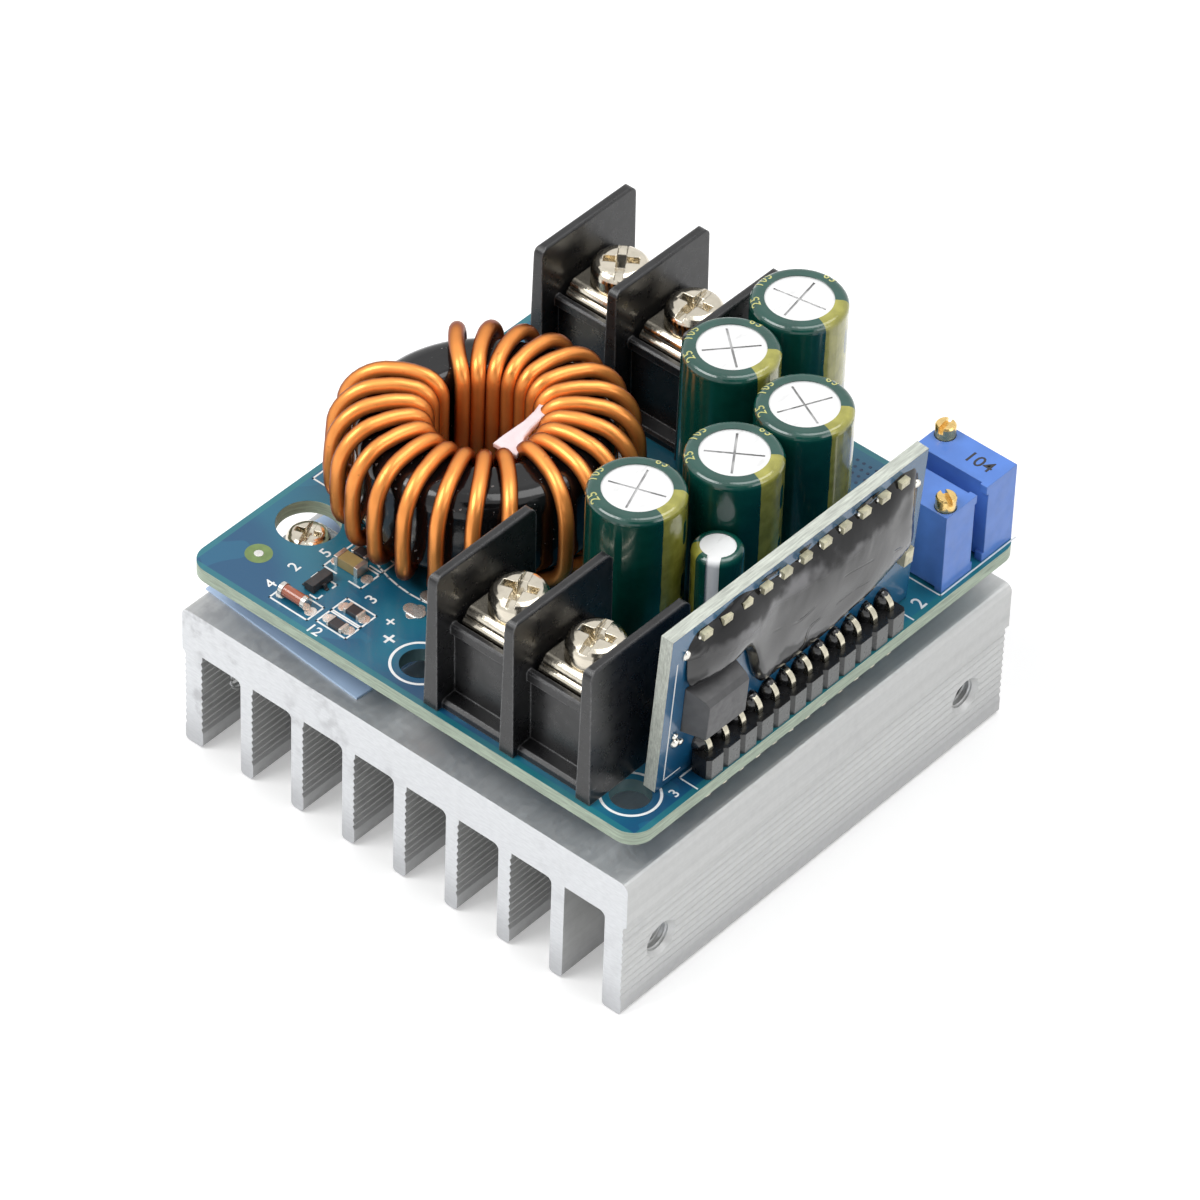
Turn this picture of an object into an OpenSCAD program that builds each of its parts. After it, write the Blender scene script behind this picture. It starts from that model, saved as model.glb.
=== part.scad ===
// Step-down (buck) converter module on an extruded heatsink.
// Millimetres. +Z is up, +X is the side with the pin header and the tapped side holes'
// near pair, -Y is the cut face of the fins with the input terminal. The origin is the
// centre of the fin tips, where the module stands.

/* [Heatsink] */
// Width across the fins
hs_w = 60; // [50:1:80]
// Length along the fins
hs_l = 60; // [55:1:100]
// Height from the fin tips to the top
hs_h = 18; // [14:0.5:30]
// Thickness of the plate that carries the fins
hs_base = 5.3; // [4.5:0.1:7]
// Number of channels between the fins
channels = 8; // [5:1:9]
// Thickness of the two outer walls
wall_fin = 2.8; // [2.6:0.1:3.6]
// Thickness of the inner fins
inner_fin = 1.7; // [1.2:0.1:2.4]
// Depth of the serrations in the channels
serration = 0.2; // [0.1:0.05:0.3]
// Distance between the tapped holes in one side
side_hole_pitch = 48; // [30:1:50]
// Height of the tapped side holes above the fin tips
side_hole_z = 6.3; // [5:0.1:8]
// Core diameter of the tapped side holes
side_hole_d = 3.3; // [2.5:0.1:3.6]

/* [Main board] */
// Board width, left to right
board_w = 60; // [60:1:80]
// Board length, front to back
board_l = 60; // [60:1:80]
// Board thickness
board_t = 1.6; // [1:0.1:2.4]
// Corner radius
board_r = 2.5; // [1:0.5:4]
// How far the board sits to the right of the heatsink's middle
board_dx = 0.4; // [-1:0.1:1]
// How far the board sits behind the heatsink's middle
board_dy = 0.3; // [-1:0.1:1]
// Access hole over each power device's screw
access_d = 6.8; // [6.2:0.1:7.2]
// Plain fixing holes near the front edge
fixing_d = 4.3; // [3:0.1:4.6]

/* [Power devices] */
// Moulding thickness over the tab's underside
device_t = 4.5; // [4:0.1:5]
// Tab thickness
tab_t = 1.3; // [1:0.1:1.6]
// Insulating sheet thickness
sheet_t = 0.25; // [0.2:0.05:0.6]

/* [Terminals] */
// Distance between the barrier walls
pole_pitch = 10; // [9.5:0.1:12]
// Height of the barrier walls
barrier_h = 17.3; // [16.8:0.1:20]
// Depth of the barrier walls, front to back
barrier_d = 14.7; // [13.6:0.1:16]
// Clamp screw's thread diameter
clamp_thread_d = 3.5; // [3:0.1:3.6]
// Clamp screw's head diameter
clamp_head_d = 6.3; // [5.6:0.1:6.6]

/* [Inductor] */
// Core outer diameter
core_od = 27; // [24:0.5:27.5]
// Core inner diameter
core_id = 14; // [13.8:0.1:15]
// Core height
core_h = 11.2; // [8:0.1:13]
// Wire diameter
wire_d = 1.55; // [1:0.05:1.55]

/* [Capacitors] */
// Sleeve diameter of the large capacitors
cap_d = 10.2; // [8:0.1:10.3]
// Height of the large capacitors
cap_h = 20.3; // [16:0.1:25]
// Sleeve diameter of the small capacitor
small_cap_d = 5.4; // [4.4:0.1:5.8]
// Height of the small capacitor
small_cap_h = 7.2; // [6:0.1:11]

/* [Controller board] */
// Length along the header
ctrl_l = 38.8; // [34:0.1:39]
// Height
ctrl_h = 20.8; // [20:0.1:24]
// Thickness
ctrl_t = 1.5; // [1:0.1:1.6]
// How far it leans outwards, in degrees
ctrl_lean = 4; // [0:0.5:4]

/* [Trimmers] */
// Housing length
trim_l = 9.53; // [9:0.01:10]
// Housing width
trim_w = 4.83; // [4:0.01:5.2]
// Housing height
trim_h = 10.03; // [8:0.01:12]
// Adjusting screw diameter
trim_screw_d = 2.2; // [2:0.1:2.4]

/* [Hidden] */
$fn = 64;
FIT = 0.05;            // radial clearance of a screw in its hole
GAP = 0.3;             // clearance between neighbouring pieces
HEADER_PITCH = 2.54;
HEADER_WAYS = 12;

// Heatsink section
channel_w = (hs_w - 2 * wall_fin - (channels - 1) * inner_fin) / channels;
roof_z = hs_h - hs_base;
tip_r = 0.5;           // rounding of the fin tips
root_r = 0.7;          // fillet at the plain side of a channel's roof
top_r = 0.9;           // rounding of the top outer corners
side_step = 0.35;      // the ribbed part of the sides stands back by this
side_step_z = 12.4;    // where the step is
plain_foot = 2;        // plain stretch above the tips
wave_pitch = 0.95;
side_mouth = 0.6;      // how far the mouth of a side hole widens, at 45 degrees
drill_mark = 0.5;      // depth of the drill point's mark in the next fin

// Levels
sheet_z = hs_h + sheet_t;
seat_gap = 0.15;       // between the power devices and the board
board_z0 = sheet_z + device_t + seat_gap;
board_z = board_z0 + board_t;

// Board edges
left = board_dx - board_w / 2;
right = board_dx + board_w / 2;
front = board_dy - board_l / 2;
back = board_dy + board_l / 2;

// Power devices: the tab's hole, and the lead that is bent up through the board
tab_hole_to_end = 2.8;
tab_exposed = 3.4;     // from the hole to the moulding
case_l = 9.2;
case_w = 10;
lead_reach = 16.8;     // from the hole to the bent leads
lead_pitch = 2.54;
lead_w = 0.8;
lead_t = 0.5;
lead_z = 2.6;          // height of the leads above the tab's underside
device_x = left + 5.3;
transistor_y = front + 12.45;
diode_y = front + 38.8;
device_at = [[device_x, transistor_y], [device_x, diode_y]];
device_thread_d = 3;
bush_flange_d = 6.4;
bush_flange_t = 1.4;
bush_hole_d = 3.3;
tab_hole_d = 3.9;
device_thread_depth = 4.4;
device_head_d = 4.7;
device_head_h = 2.4;

// Fixing holes of the board
fixing_at = [[right - 4.6, front + 4.6], [right - 32.3, front + 4.6]];

// Terminal blocks
input_at = [right - 17.34, front + barrier_d / 2 + 0.55];
output_at = [left + 17.1, back - barrier_d / 2 - 0.2];
barrier_foot_t = 1.8;
barrier_top_t = 1.15;
barrier_corner = 1;
seat_z = 9.7;          // where the contact plates lie, above the board
rim_z = 10.2;
face_y = 4.75;         // half depth of the moulded body
rim_y = 5.35;
foot_y = 6.6;
foot_h = 1;
plate_t = 1;
plate_y = 4.2;         // half depth of a contact plate
plate_drop = 0.9;      // how far its folded lips reach down
plate_w = pole_pitch - barrier_foot_t - 0.5;
saddle_t = 1;
saddle_y = 3.8;       // half depth of a clamp
saddle_foot = 1.2;     // width of the strips it stands on
saddle_w = plate_w - 0.5;
clamp_z = seat_z + plate_t;          // the clamp's underside, above the board
clamp_head_z = clamp_z + saddle_t;
clamp_head_h = 2.6;
clamp_shaft = 6.5;     // below the head
well_d = clamp_thread_d + 1.3;
well_depth = 6;
contact_pin_d = 1.2;
contact_pin_y = clamp_thread_d / 2 + contact_pin_d / 2 + 0.15;
pin_below = 1.8;       // how far pins reach below the board

// Inductor
inductor_at = [left + 17.3, front + 25.7];
wire_gap = 0.19;       // between the wire and the core
lift = 0.15;           // the winding's underside above the board
core_corner = 1.2;     // rounding at the core's eye
core_rim_r = 2.2;      // rounding at its outer edge
bulge = 1.2;           // the outer legs stand off the core by this
core_z = board_z + lift + wire_d + wire_gap;
leg_in = core_id / 2 - wire_gap - wire_d / 2;
leg_out = core_od / 2 + bulge + wire_d / 2;
turns = 22;
turns_before_gap = 10;
ring_sides = 8;
outer_bend_r = 4.5;    // centre line of the bends at the outer edge
tail_bend_r = 1;       // bend of the last lead down into the board
out_start = -161;      // direction of the first outer leg
out_steps = [13.5, 14.4];
out_gap = 22.8;
in_start = -181;       // direction of the first inner leg
in_steps = [16.5, 15];
in_gap = 21.7;
tail_turn = 5;         // the last lead leaves this far after the last inner leg
// Direction of the outer and the inner leg of turn k, counted from 0, with a wider gap part way
function leg_angle(k, start, steps, gap) = k < turns_before_gap ? start + k * steps[0]
    : start + (turns_before_gap - 1) * steps[0] + gap + (k - turns_before_gap) * steps[1];
function out_angle(k) = leg_angle(k, out_start, out_steps, out_gap);
function in_angle(k) = leg_angle(k, in_start, in_steps, in_gap);
tail_angle = in_angle(turns - 1) + tail_turn;

// Capacitors, counted from the front
caps_at = [[right - 19.2, front + 21.5], [right - 15.6, front + 32.05],
           [right - 15.2, front + 42.4], [right - 26.2, front + 44.1],
           [right - 26.1, front + 54.6]];
small_cap_at = [right - 11.7, front + 25.3];
sleeve_t = 0.15;
cap_top_r = 0.8;
sleeve_open = cap_d / 2 - 1.5;
small_sleeve_open = small_cap_d / 2 - 0.85;
cap_standoff = 0.2;
vent_depth = 0.15;
cap_lead_d = 0.6;
cap_lead_pitch = cap_d > 8.5 ? 5 : 3.5;
small_lead_pitch = 2;

// Header and controller board
header_x = right - HEADER_PITCH / 2 - 0.12;
header_y = front + 12.4;
pin_w = 0.64;
bend_r = 1.15;         // centre line of the bent pins
pin_z = board_z + HEADER_PITCH + 0.3 + bend_r;
ctrl_x = header_x - HEADER_PITCH / 2 - 0.2 - 0.06;
ctrl_y = header_y - HEADER_PITCH / 2 - 4.85;
ctrl_z = board_z + 0.1;
package_w = 6.9;
package_h = 5.9;
package_t = 2.7;
package_bevel = 0.7;
package_at = [ctrl_y + 2.9, 6.6];
potting_cols = 26;
potting_rows = 9;
potting_y0 = ctrl_y + 2.4;
potting_y1 = ctrl_y + ctrl_l - 1;
potting_top = 18.4;
potting_low = 5.4;
potting_t = 1.9;
chip_rows = 11;

// Trimmers: the middle of each housing's foot, and the end that holds the screw
trim_x = right - trim_l / 2 - 0.75;
trim_near_y = front + 50.4;
trim_far_y = trim_near_y + trim_w + 1.6;
trim_screw_in = 1.27;
trim_screw_up = 1.5;
trim_screw_depth = 3;
trim_pin_d = 0.5;
trim_foot = 0.4;
trim_lug = 0.3;        // how far the lugs of the lid stand out
trim_lug_h = 1.05;

// Indicator lamp
lamp_at = [left + 4.1, front + 50.3];
lamp_d = 3;
lamp_h = 4.6;

// Small parts on the main board, from its front left corner
chip_cap_at = [left + 13, front + 10.4];
chip_res_at = [[left + 12.6, front + 12.6], [left + 17.9, front + 5.6], [left + 18, front + 3]];
sot_at = [left + 12.4, front + 6.3];
melf_at = [left + 12.3, front + 2.85];

// ---------------------------------------------------------------- helpers

// Points along an arc, from one angle to another
function arc(c, r, a0, a1, n = 5) =
    [for (i = [0:n]) c + r * [cos(a0 + (a1 - a0) * i / n), sin(a0 + (a1 - a0) * i / n)]];

// A scalloped edge at x, running from z0 to z1, cut back towards -X
function scallops(x, z0, z1, depth) =
    let (n = max(1, round((z1 - z0) / wave_pitch)), k = 4)
    [for (i = [0:n * k])
        [x - depth * (0.5 - 0.5 * cos(360 * i / k)), z0 + (z1 - z0) * i / (n * k)]];

function smooth(t) = t * t * (3 - 2 * t);
function reversed(list) = [for (i = [len(list) - 1:-1:0]) list[i]];

module rounded_plate(w, l, r, t) {
    linear_extrude(t) {
        square([w - 2 * r, l], center = true);
        square([w, l - 2 * r], center = true);
        for (x = [-1, 1], y = [-1, 1])
            translate([x * (w / 2 - r), y * (l / 2 - r)]) circle(r);
    }
}

// A profile drawn in (y, z), extruded along X and centred
module along_x(width) {
    translate([-width / 2, 0, 0]) rotate([90, 0, 90]) linear_extrude(width) children();
}

module ring(d_out, d_in, h) {
    difference() {
        cylinder(d = d_out, h = h);
        translate([0, 0, -1]) cylinder(d = d_in, h = h + 2);
    }
}

// Cross recess with a shallow slot across the head, cut from z = 0 downwards
module driver_recess(d) {
    arm = d * 0.62;
    for (a = [0, 90]) rotate([0, 0, a])
        translate([0, 0.08 * d, 0]) rotate([90, 0, 0]) linear_extrude(0.16 * d)
            polygon([[-arm / 2, 1], [arm / 2, 1], [arm / 2, 0], [0.09 * d, -0.27 * d],
                     [-0.09 * d, -0.27 * d], [-arm / 2, 0]]);
    rotate([0, 0, 45]) for (s = [0, 90]) rotate([0, 0, s])
        translate([-0.13 * d, -0.13 * d, -0.12 * d]) cube([0.26 * d, 0.26 * d, 2]);
    rotate([0, 0, 90]) translate([-d, -0.07 * d, -0.09 * d]) cube([2 * d, 0.14 * d, 2]);
}

// Pan-head screw: the head's underside is at z = 0 and the thread goes down
module pan_screw(head_d, head_h, thread_d, length) {
    rim = head_h * 0.5;
    difference() {
        union() {
            rotate_extrude() polygon(concat([[0, 0], [head_d / 2 - 0.2, 0], [head_d / 2, 0.2]],
                [for (i = [0:5]) [head_d / 2 * cos(i * 11), rim + (head_h - rim) * sin(i * 18)]],
                [[0, head_h]]));
            translate([0, 0, 0.5 - length]) cylinder(d = thread_d, h = length);
            translate([0, 0, -length]) cylinder(d1 = thread_d - 1, d2 = thread_d, h = 0.5);
        }
        translate([0, 0, head_h]) driver_recess(head_d);
    }
}

// ---------------------------------------------------------------- heatsink

function fin_left(i) = i == 0 ? -hs_w / 2
    : -hs_w / 2 + wall_fin + i * channel_w + (i - 1) * inner_fin;
function fin_right(i) = i == channels ? hs_w / 2
    : fin_left(i) + (i == 0 ? wall_fin : inner_fin);

// A fin tip, and the channel after it: up the serrated side, along the roof, down the plain one
function tip(x0, x1) =
    concat(arc([x0 + tip_r, tip_r], tip_r, 180, 270, 4), arc([x1 - tip_r, tip_r], tip_r, 270, 360, 4));
function channel_path(i) =
    let (a = fin_right(i), b = fin_left(i + 1), last = i == channels - 1)
    concat(last ? [] : scallops(a, plain_foot, roof_z - 0.6, serration), [[a, roof_z]],
           arc([b - root_r, roof_z - root_r], root_r, 90, 0, 4));
// The right-hand side from the tip up, with its ribs and its step
function side_path() =
    concat(scallops(hs_w / 2 - side_step, plain_foot, side_step_z - 0.3, 0.15),
           [[hs_w / 2 - side_step, side_step_z - side_step], [hs_w / 2, side_step_z]],
           arc([hs_w / 2 - top_r, hs_h - top_r], top_r, 0, 90, 5));
function mirrored(list) = reversed([for (p = list) [-p.x, p.y]]);
function heatsink_profile() =
    concat([for (i = [0:channels - 1])
                each concat(tip(fin_left(i) + (i == 0 ? side_step : 0), fin_right(i)), channel_path(i))],
           tip(fin_left(channels), fin_right(channels) - side_step),
           side_path(), mirrored(side_path()));

// Tapped hole in a side wall, with its countersink and the mark it left in the next fin
module side_hole(s, y) {
    mouth_h = 1 + side_step + side_mouth;
    translate([s * (hs_w / 2 + 1), y, side_hole_z]) rotate([0, -90 * s, 0]) {
        cylinder(d = side_hole_d, h = 1 + wall_fin + channel_w / 2);
        cylinder(d1 = side_hole_d + 2 * mouth_h, d2 = side_hole_d, h = mouth_h);
        translate([0, 0, 1 + wall_fin + channel_w - drill_mark])
            cylinder(d1 = 4 * drill_mark * 1.66, d2 = 0, h = 2 * drill_mark);
    }
}

module heatsink() {
    color("silver") difference() {
        translate([0, hs_l / 2, 0]) rotate([90, 0, 0]) linear_extrude(hs_l) polygon(heatsink_profile());
        for (s = [-1, 1], y = [-1, 1]) side_hole(s, y * side_hole_pitch / 2);
        for (p = device_at) translate([p.x, p.y, hs_h - device_thread_depth])
            cylinder(d = device_thread_d + 2 * FIT, h = device_thread_depth + 1);
    }
}

// ---------------------------------------------------------------- power devices

// Insulating sheet cut larger than the device, turned a little as it was laid
module insulator(p, turn, w, l, dx, dy) {
    color("#8f9cd0") difference() {
        translate([p.x + dx, p.y + dy, hs_h]) rotate([0, 0, turn])
            linear_extrude(sheet_t) square([w, l], center = true);
        translate([p.x, p.y, hs_h - 1]) cylinder(d = device_thread_d + 0.6, h = sheet_t + 2);
    }
}
module insulator_front() insulator(device_at[0], -4.4, 22.4, 17, 6.15, -1.6);
module insulator_back() insulator(device_at[1], 0, 22.4, 17, 6.15, 0);

// Tab with its hole and side notches, and three leads bent up through the board
module device_frame(p) {
    color("gainsboro") translate([p.x, p.y, sheet_z]) {
        difference() {
            translate([-tab_hole_to_end, -case_w / 2, 0])
                cube([tab_hole_to_end + tab_exposed + case_l, case_w, tab_t]);
            translate([0, 0, -1]) cylinder(d = tab_hole_d, h = tab_t + 2);
            for (s = [-1, 1]) translate([1.2, s * case_w / 2, -1]) cylinder(d = 1.6, h = tab_t + 2);
        }
        for (k = [-1, 0, 1]) translate([0, k * lead_pitch, 0]) bent_lead();
    }
}
module bent_lead() {
    r = 0.9;
    x0 = tab_exposed + case_l;
    translate([x0, -lead_w / 2, lead_z - lead_t / 2]) cube([lead_reach - r - x0, lead_w, lead_t]);
    translate([lead_reach - r, 0, lead_z + r]) rotate([90, 0, 0])
        rotate([0, 0, -90]) rotate_extrude(angle = 90)
            translate([r - lead_t / 2, -lead_w / 2]) square([lead_t, lead_w]);
    translate([lead_reach - lead_t / 2, -lead_w / 2, lead_z + r])
        cube([lead_t, lead_w, board_z - sheet_z - lead_z - r]);
}
// Black moulding over the tab, with a draft along its sides
module device_case(p) {
    color("#202022") translate([p.x + tab_exposed, p.y, sheet_z + tab_t])
        rotate([90, 0, 90]) linear_extrude(case_l)
            polygon([[-case_w / 2, 0], [case_w / 2, 0], [case_w / 2, 1.1],
                     [case_w / 2 - 0.35, device_t - tab_t], [0.35 - case_w / 2, device_t - tab_t],
                     [-case_w / 2, 1.1]]);
}
module insulating_bushes() {
    color("white") for (p = device_at) translate([p.x, p.y, sheet_z + tab_t]) {
        ring(bush_flange_d, bush_hole_d, bush_flange_t);
        translate([0, 0, -tab_t + 0.1]) ring(tab_hole_d - 2 * FIT, bush_hole_d, tab_t - 0.1);
    }
}
module device_screws() {
    color("silver") for (p = device_at)
        translate([p.x, p.y, sheet_z + tab_t + bush_flange_t]) rotate([0, 0, 20])
            pan_screw(device_head_d, device_head_h, device_thread_d, 6.1);
}

// ---------------------------------------------------------------- main board

function contact_pins(p) = [for (x = [-1, 1], y = [-1, 1]) p + [x * pole_pitch / 2, y * contact_pin_y]];
function cap_leads(p, pitch, turn) =
    [for (s = [-1, 1]) p + s * pitch / 2 * [cos(turn), sin(turn)]];
function trimmer_pin_at(y) = [for (k = [-1, 0, 1]) [trim_x + k * 2.54, y]];
function on_ring(r, a) = inductor_at + r * [cos(a), sin(a)];
header_at = [for (i = [0:HEADER_WAYS - 1]) [header_x, header_y + i * HEADER_PITCH]];
device_lead_at = [for (p = device_at, k = [-1, 0, 1]) p + [lead_reach, k * lead_pitch]];
cap_lead_at = concat([for (p = caps_at) each cap_leads(p, cap_lead_pitch, 60)],
                     cap_leads(small_cap_at, small_lead_pitch, 60));
contact_at = concat(contact_pins(input_at), contact_pins(output_at));
trim_pin_at = concat(trimmer_pin_at(trim_near_y), trimmer_pin_at(trim_far_y));
lamp_lead_at = cap_leads(lamp_at, 2.54, 90);
wire_end_at = [on_ring(leg_out, out_start), on_ring(leg_out, tail_angle)];

module holes(list, d) {
    for (p = list) translate(p) circle(d / 2, $fn = 24);
}
module main_board() {
    color("#0f6aa0") translate([0, 0, board_z0]) linear_extrude(board_t) difference() {
        translate([board_dx, board_dy]) {
            square([board_w - 2 * board_r, board_l], center = true);
            square([board_w, board_l - 2 * board_r], center = true);
            for (x = [-1, 1], y = [-1, 1])
                translate([x * (board_w / 2 - board_r), y * (board_l / 2 - board_r)]) circle(board_r);
        }
        for (p = device_at) translate(p) circle(access_d / 2);
        for (p = fixing_at) translate(p) circle(fixing_d / 2);
        holes(device_lead_at, 1.3);
        holes(header_at, 1.2);
        holes(cap_lead_at, cap_lead_d + 0.3);
        holes(contact_at, contact_pin_d + 0.3);
        holes(trim_pin_at, trim_pin_d + 0.3);
        holes(lamp_lead_at, 0.9);
        holes(wire_end_at, wire_d + 0.3);
    }
}

// Solder cones under the board, each open round its pin
module solder_cone(d) {
    rotate_extrude($fn = 24)
        polygon([[d / 2 + 0.02, 0], [d / 2 + 0.65, 0], [d / 2 + 0.35, -0.25], [d / 2 + 0.15, -1],
                 [d / 2 + 0.02, -1]]);
}
module solder_joints() {
    color("#c9c9c4") {
        for (p = header_at) translate([p.x, p.y, board_z0]) solder_cone(pin_w * sqrt(2));
        for (p = cap_lead_at) translate([p.x, p.y, board_z0]) solder_cone(cap_lead_d);
        for (p = contact_at) translate([p.x, p.y, board_z0]) solder_cone(contact_pin_d);
        for (p = trim_pin_at) translate([p.x, p.y, board_z0]) solder_cone(trim_pin_d);
        for (p = lamp_lead_at) translate([p.x, p.y, board_z0]) solder_cone(0.5);
        for (p = wire_end_at) translate([p.x, p.y, board_z0]) solder_cone(wire_d);
    }
}
// Flush oval joints of the power devices' leads, on top of the board
module board_pads() {
    color("#c9c9c4") for (p = device_lead_at) translate([p.x, p.y, board_z]) linear_extrude(0.12) {
        square([1.1, 1.5], center = true);
        for (s = [-1, 1]) translate([s * 0.55, 0]) circle(0.75, $fn = 24);
    }
}

// ---------------------------------------------------------------- terminal blocks

module barrier() {
    t = barrier_foot_t / 2;
    u = barrier_top_t / 2;
    r = 0.35;
    c = barrier_corner;
    intersection() {
        translate([0, barrier_d / 2, 0]) rotate([90, 0, 0]) linear_extrude(barrier_d)
            polygon(concat([[-t, 0], [t, 0]], arc([u - r, barrier_h - r], r, 10, 90, 3),
                           arc([r - u, barrier_h - r], r, 90, 170, 3)));
        along_x(2 * t + 2)
            polygon(concat([[-barrier_d / 2, 0], [barrier_d / 2, 0]],
                           arc([barrier_d / 2 - c, barrier_h - c], c, 0, 90, 5),
                           arc([c - barrier_d / 2, barrier_h - c], c, 90, 180, 5)));
    }
}
// Half of the body's section, from the foot up to the contact plate's seat
function block_half() =
    [[foot_y, 0], [foot_y, foot_h - 0.3], [foot_y - 0.3, foot_h], [face_y, foot_h + 0.1],
     [face_y, rim_z - 1.5], [rim_y, rim_z - 1.2], [rim_y, rim_z - 0.2], [rim_y - 0.2, rim_z],
     [plate_y + 0.45, rim_z], [plate_y + 0.2, rim_z - 0.25], [plate_y + 0.2, seat_z - plate_drop],
     [plate_y - plate_t - 0.15, seat_z - plate_drop], [plate_y - plate_t - 0.15, seat_z]];
module terminal_block(p, turn) {
    color("#222224") translate([p.x, p.y, board_z]) rotate([0, 0, turn]) difference() {
        union() {
            along_x(2 * pole_pitch)
                polygon(concat(block_half(), reversed([for (q = block_half()) [-q.x, q.y]])));
            for (i = [-1, 0, 1]) translate([i * pole_pitch, 0, 0]) barrier();
        }
        for (i = [-1, 1]) translate([i * pole_pitch / 2, 0, 0]) {
            translate([0, 0, seat_z - well_depth]) cylinder(d = well_d, h = well_depth + 1);
            for (y = [-1, 1]) translate([0, y * contact_pin_y, -1]) cylinder(d = contact_pin_d + 0.1, h = seat_z + 2);
        }
    }
}
// Nickel-plated plate with both lips folded down, tapped for the screw, and its two pins
module contact_plate() {
    r = plate_t;
    y = plate_y;
    difference() {
        along_x(plate_w)
            polygon(concat(arc([y - r, seat_z], r, 0, 90, 6), arc([r - y, seat_z], r, 90, 180, 6),
                           [[-y, seat_z - plate_drop + 0.1], [r - y, seat_z - plate_drop + 0.1],
                            [r - y, seat_z], [y - r, seat_z],
                            [y - r, seat_z - plate_drop + 0.1], [y, seat_z - plate_drop + 0.1]]));
        translate([0, 0, seat_z - 1]) cylinder(d = clamp_thread_d + 2 * FIT, h = plate_t + 2);
    }
    for (s = [-1, 1]) translate([0, s * contact_pin_y, -board_t - pin_below])
        cylinder(d = contact_pin_d, h = seat_z + board_t + pin_below, $fn = 24);
}
module contacts(p, turn) {
    color("#d8d4c8") translate([p.x, p.y, board_z]) rotate([0, 0, turn])
        for (i = [-1, 1]) translate([i * pole_pitch / 2, 0, 0]) contact_plate();
}
// Clamp: a square washer with its front and back edges turned down
module saddle(p, side) {
    y = saddle_y;
    color("#dcd8cc") translate([p.x + side * pole_pitch / 2, p.y, board_z]) difference() {
        along_x(saddle_w)
            polygon(concat(arc([y - 0.7, clamp_z + 0.3], 0.7, 0, 90, 5),
                           arc([0.7 - y, clamp_z + 0.3], 0.7, 90, 180, 5),
                           [[-y, clamp_z], [saddle_foot - y, clamp_z], [saddle_foot + 0.3 - y, clamp_z + 0.25],
                            [y - saddle_foot - 0.3, clamp_z + 0.25], [y - saddle_foot, clamp_z],
                            [y, clamp_z]]));
        translate([0, 0, clamp_z - 1]) cylinder(d = clamp_thread_d + 0.4, h = saddle_t + 2);
    }
}
module clamp_screw(p, side, turn) {
    color("#dcd8cc") translate([p.x + side * pole_pitch / 2, p.y, board_z + clamp_head_z])
        rotate([0, 0, turn]) pan_screw(clamp_head_d, clamp_head_h, clamp_thread_d, clamp_shaft);
}

// ---------------------------------------------------------------- inductor

module inductor_core() {
    w = (core_od - core_id) / 2;
    c = core_corner;
    e = core_rim_r;
    color("#17171a") translate([inductor_at.x, inductor_at.y, core_z]) rotate_extrude($fn = 96)
        translate([core_id / 2, 0]) {
            translate([c, 0]) square([w - c - e, core_h]);
            translate([0, c]) square([w / 2, core_h - 2 * c]);
            translate([w / 2, e]) square([w / 2, core_h - 2 * e]);
            for (z = [c, core_h - c]) translate([c, z]) circle(c, $fn = 32);
            for (z = [e, core_h - e]) translate([w - e, z]) circle(e, $fn = 32);
        }
}

// Centre line of one turn in (radius, height): up the outer leg, over the core, down, and under it
loop_top = core_z + core_h + wire_gap + wire_d / 2;
loop_foot = core_z - wire_gap - wire_d / 2;
inner_bend_r = core_corner + wire_gap + wire_d / 2;
over_core = concat(
    [[leg_out, loop_foot + outer_bend_r]],
    arc([leg_out - outer_bend_r, loop_top - outer_bend_r], outer_bend_r, 0, 90, 5),
    arc([leg_in + inner_bend_r, loop_top - inner_bend_r], inner_bend_r, 90, 180, 3));
under_core = concat(
    arc([leg_in + inner_bend_r, loop_foot + inner_bend_r], inner_bend_r, 180, 270, 3),
    arc([leg_out - outer_bend_r, loop_foot + outer_bend_r], outer_bend_r, 270, 342, 4));
// A point of that line, turned between the outer direction a and the inner direction b
function wire_point(q, a, b) =
    let (t = a + (b - a) * (leg_out - q.x) / (leg_out - leg_in))
    [inductor_at.x + q.x * cos(t), inductor_at.y + q.x * sin(t), q.y];
function next_out(k) = k < turns - 1 ? out_angle(k + 1) : tail_angle;
function lead_points(a, zs) =
    [for (z = zs) [inductor_at.x + leg_out * cos(a), inductor_at.y + leg_out * sin(a), z]];
lead_end = board_z0 - 1.5;
wire_path = concat(
    lead_points(out_start, [lead_end, board_z]),
    [for (k = [0:turns - 1]) each concat(
        [for (q = over_core) wire_point(q, out_angle(k), in_angle(k))],
        [for (q = under_core) if (k < turns - 1 || q.x <= leg_out - outer_bend_r)
            wire_point(q, next_out(k), in_angle(k))])],
    [for (q = arc([leg_out - tail_bend_r, loop_foot - tail_bend_r], tail_bend_r, 90, 0, 3))
        wire_point(q, tail_angle, tail_angle)],
    lead_points(tail_angle, [lead_end]));

// A tube swept along points, with flat ends
function unit(v) = v / norm(v);
function tangent(p, i) = unit(p[min(i + 1, len(p) - 1)] - p[max(i - 1, 0)]);
module swept_tube(p, r, sides) {
    n = len(p);
    points = [for (i = [0:n - 1])
        let (t = tangent(p, i),
             away = [p[i].x - inductor_at.x, p[i].y - inductor_at.y, 0],
             e = unit(cross([0, 0, 1], away)), a = unit(e - t * (e * t)), b = cross(t, a))
        for (j = [0:sides - 1]) p[i] + r * (a * cos(360 * j / sides) + b * sin(360 * j / sides))];
    skin = [for (i = [0:n - 2], j = [0:sides - 1])
        let (q = i * sides, m = (j + 1) % sides) [q + j, q + sides + j, q + sides + m, q + m]];
    ends = [[for (j = [0:sides - 1]) j], [for (j = [sides - 1:-1:0]) (n - 1) * sides + j]];
    polyhedron(points, concat(skin, ends), convexity = 10);
}
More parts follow.
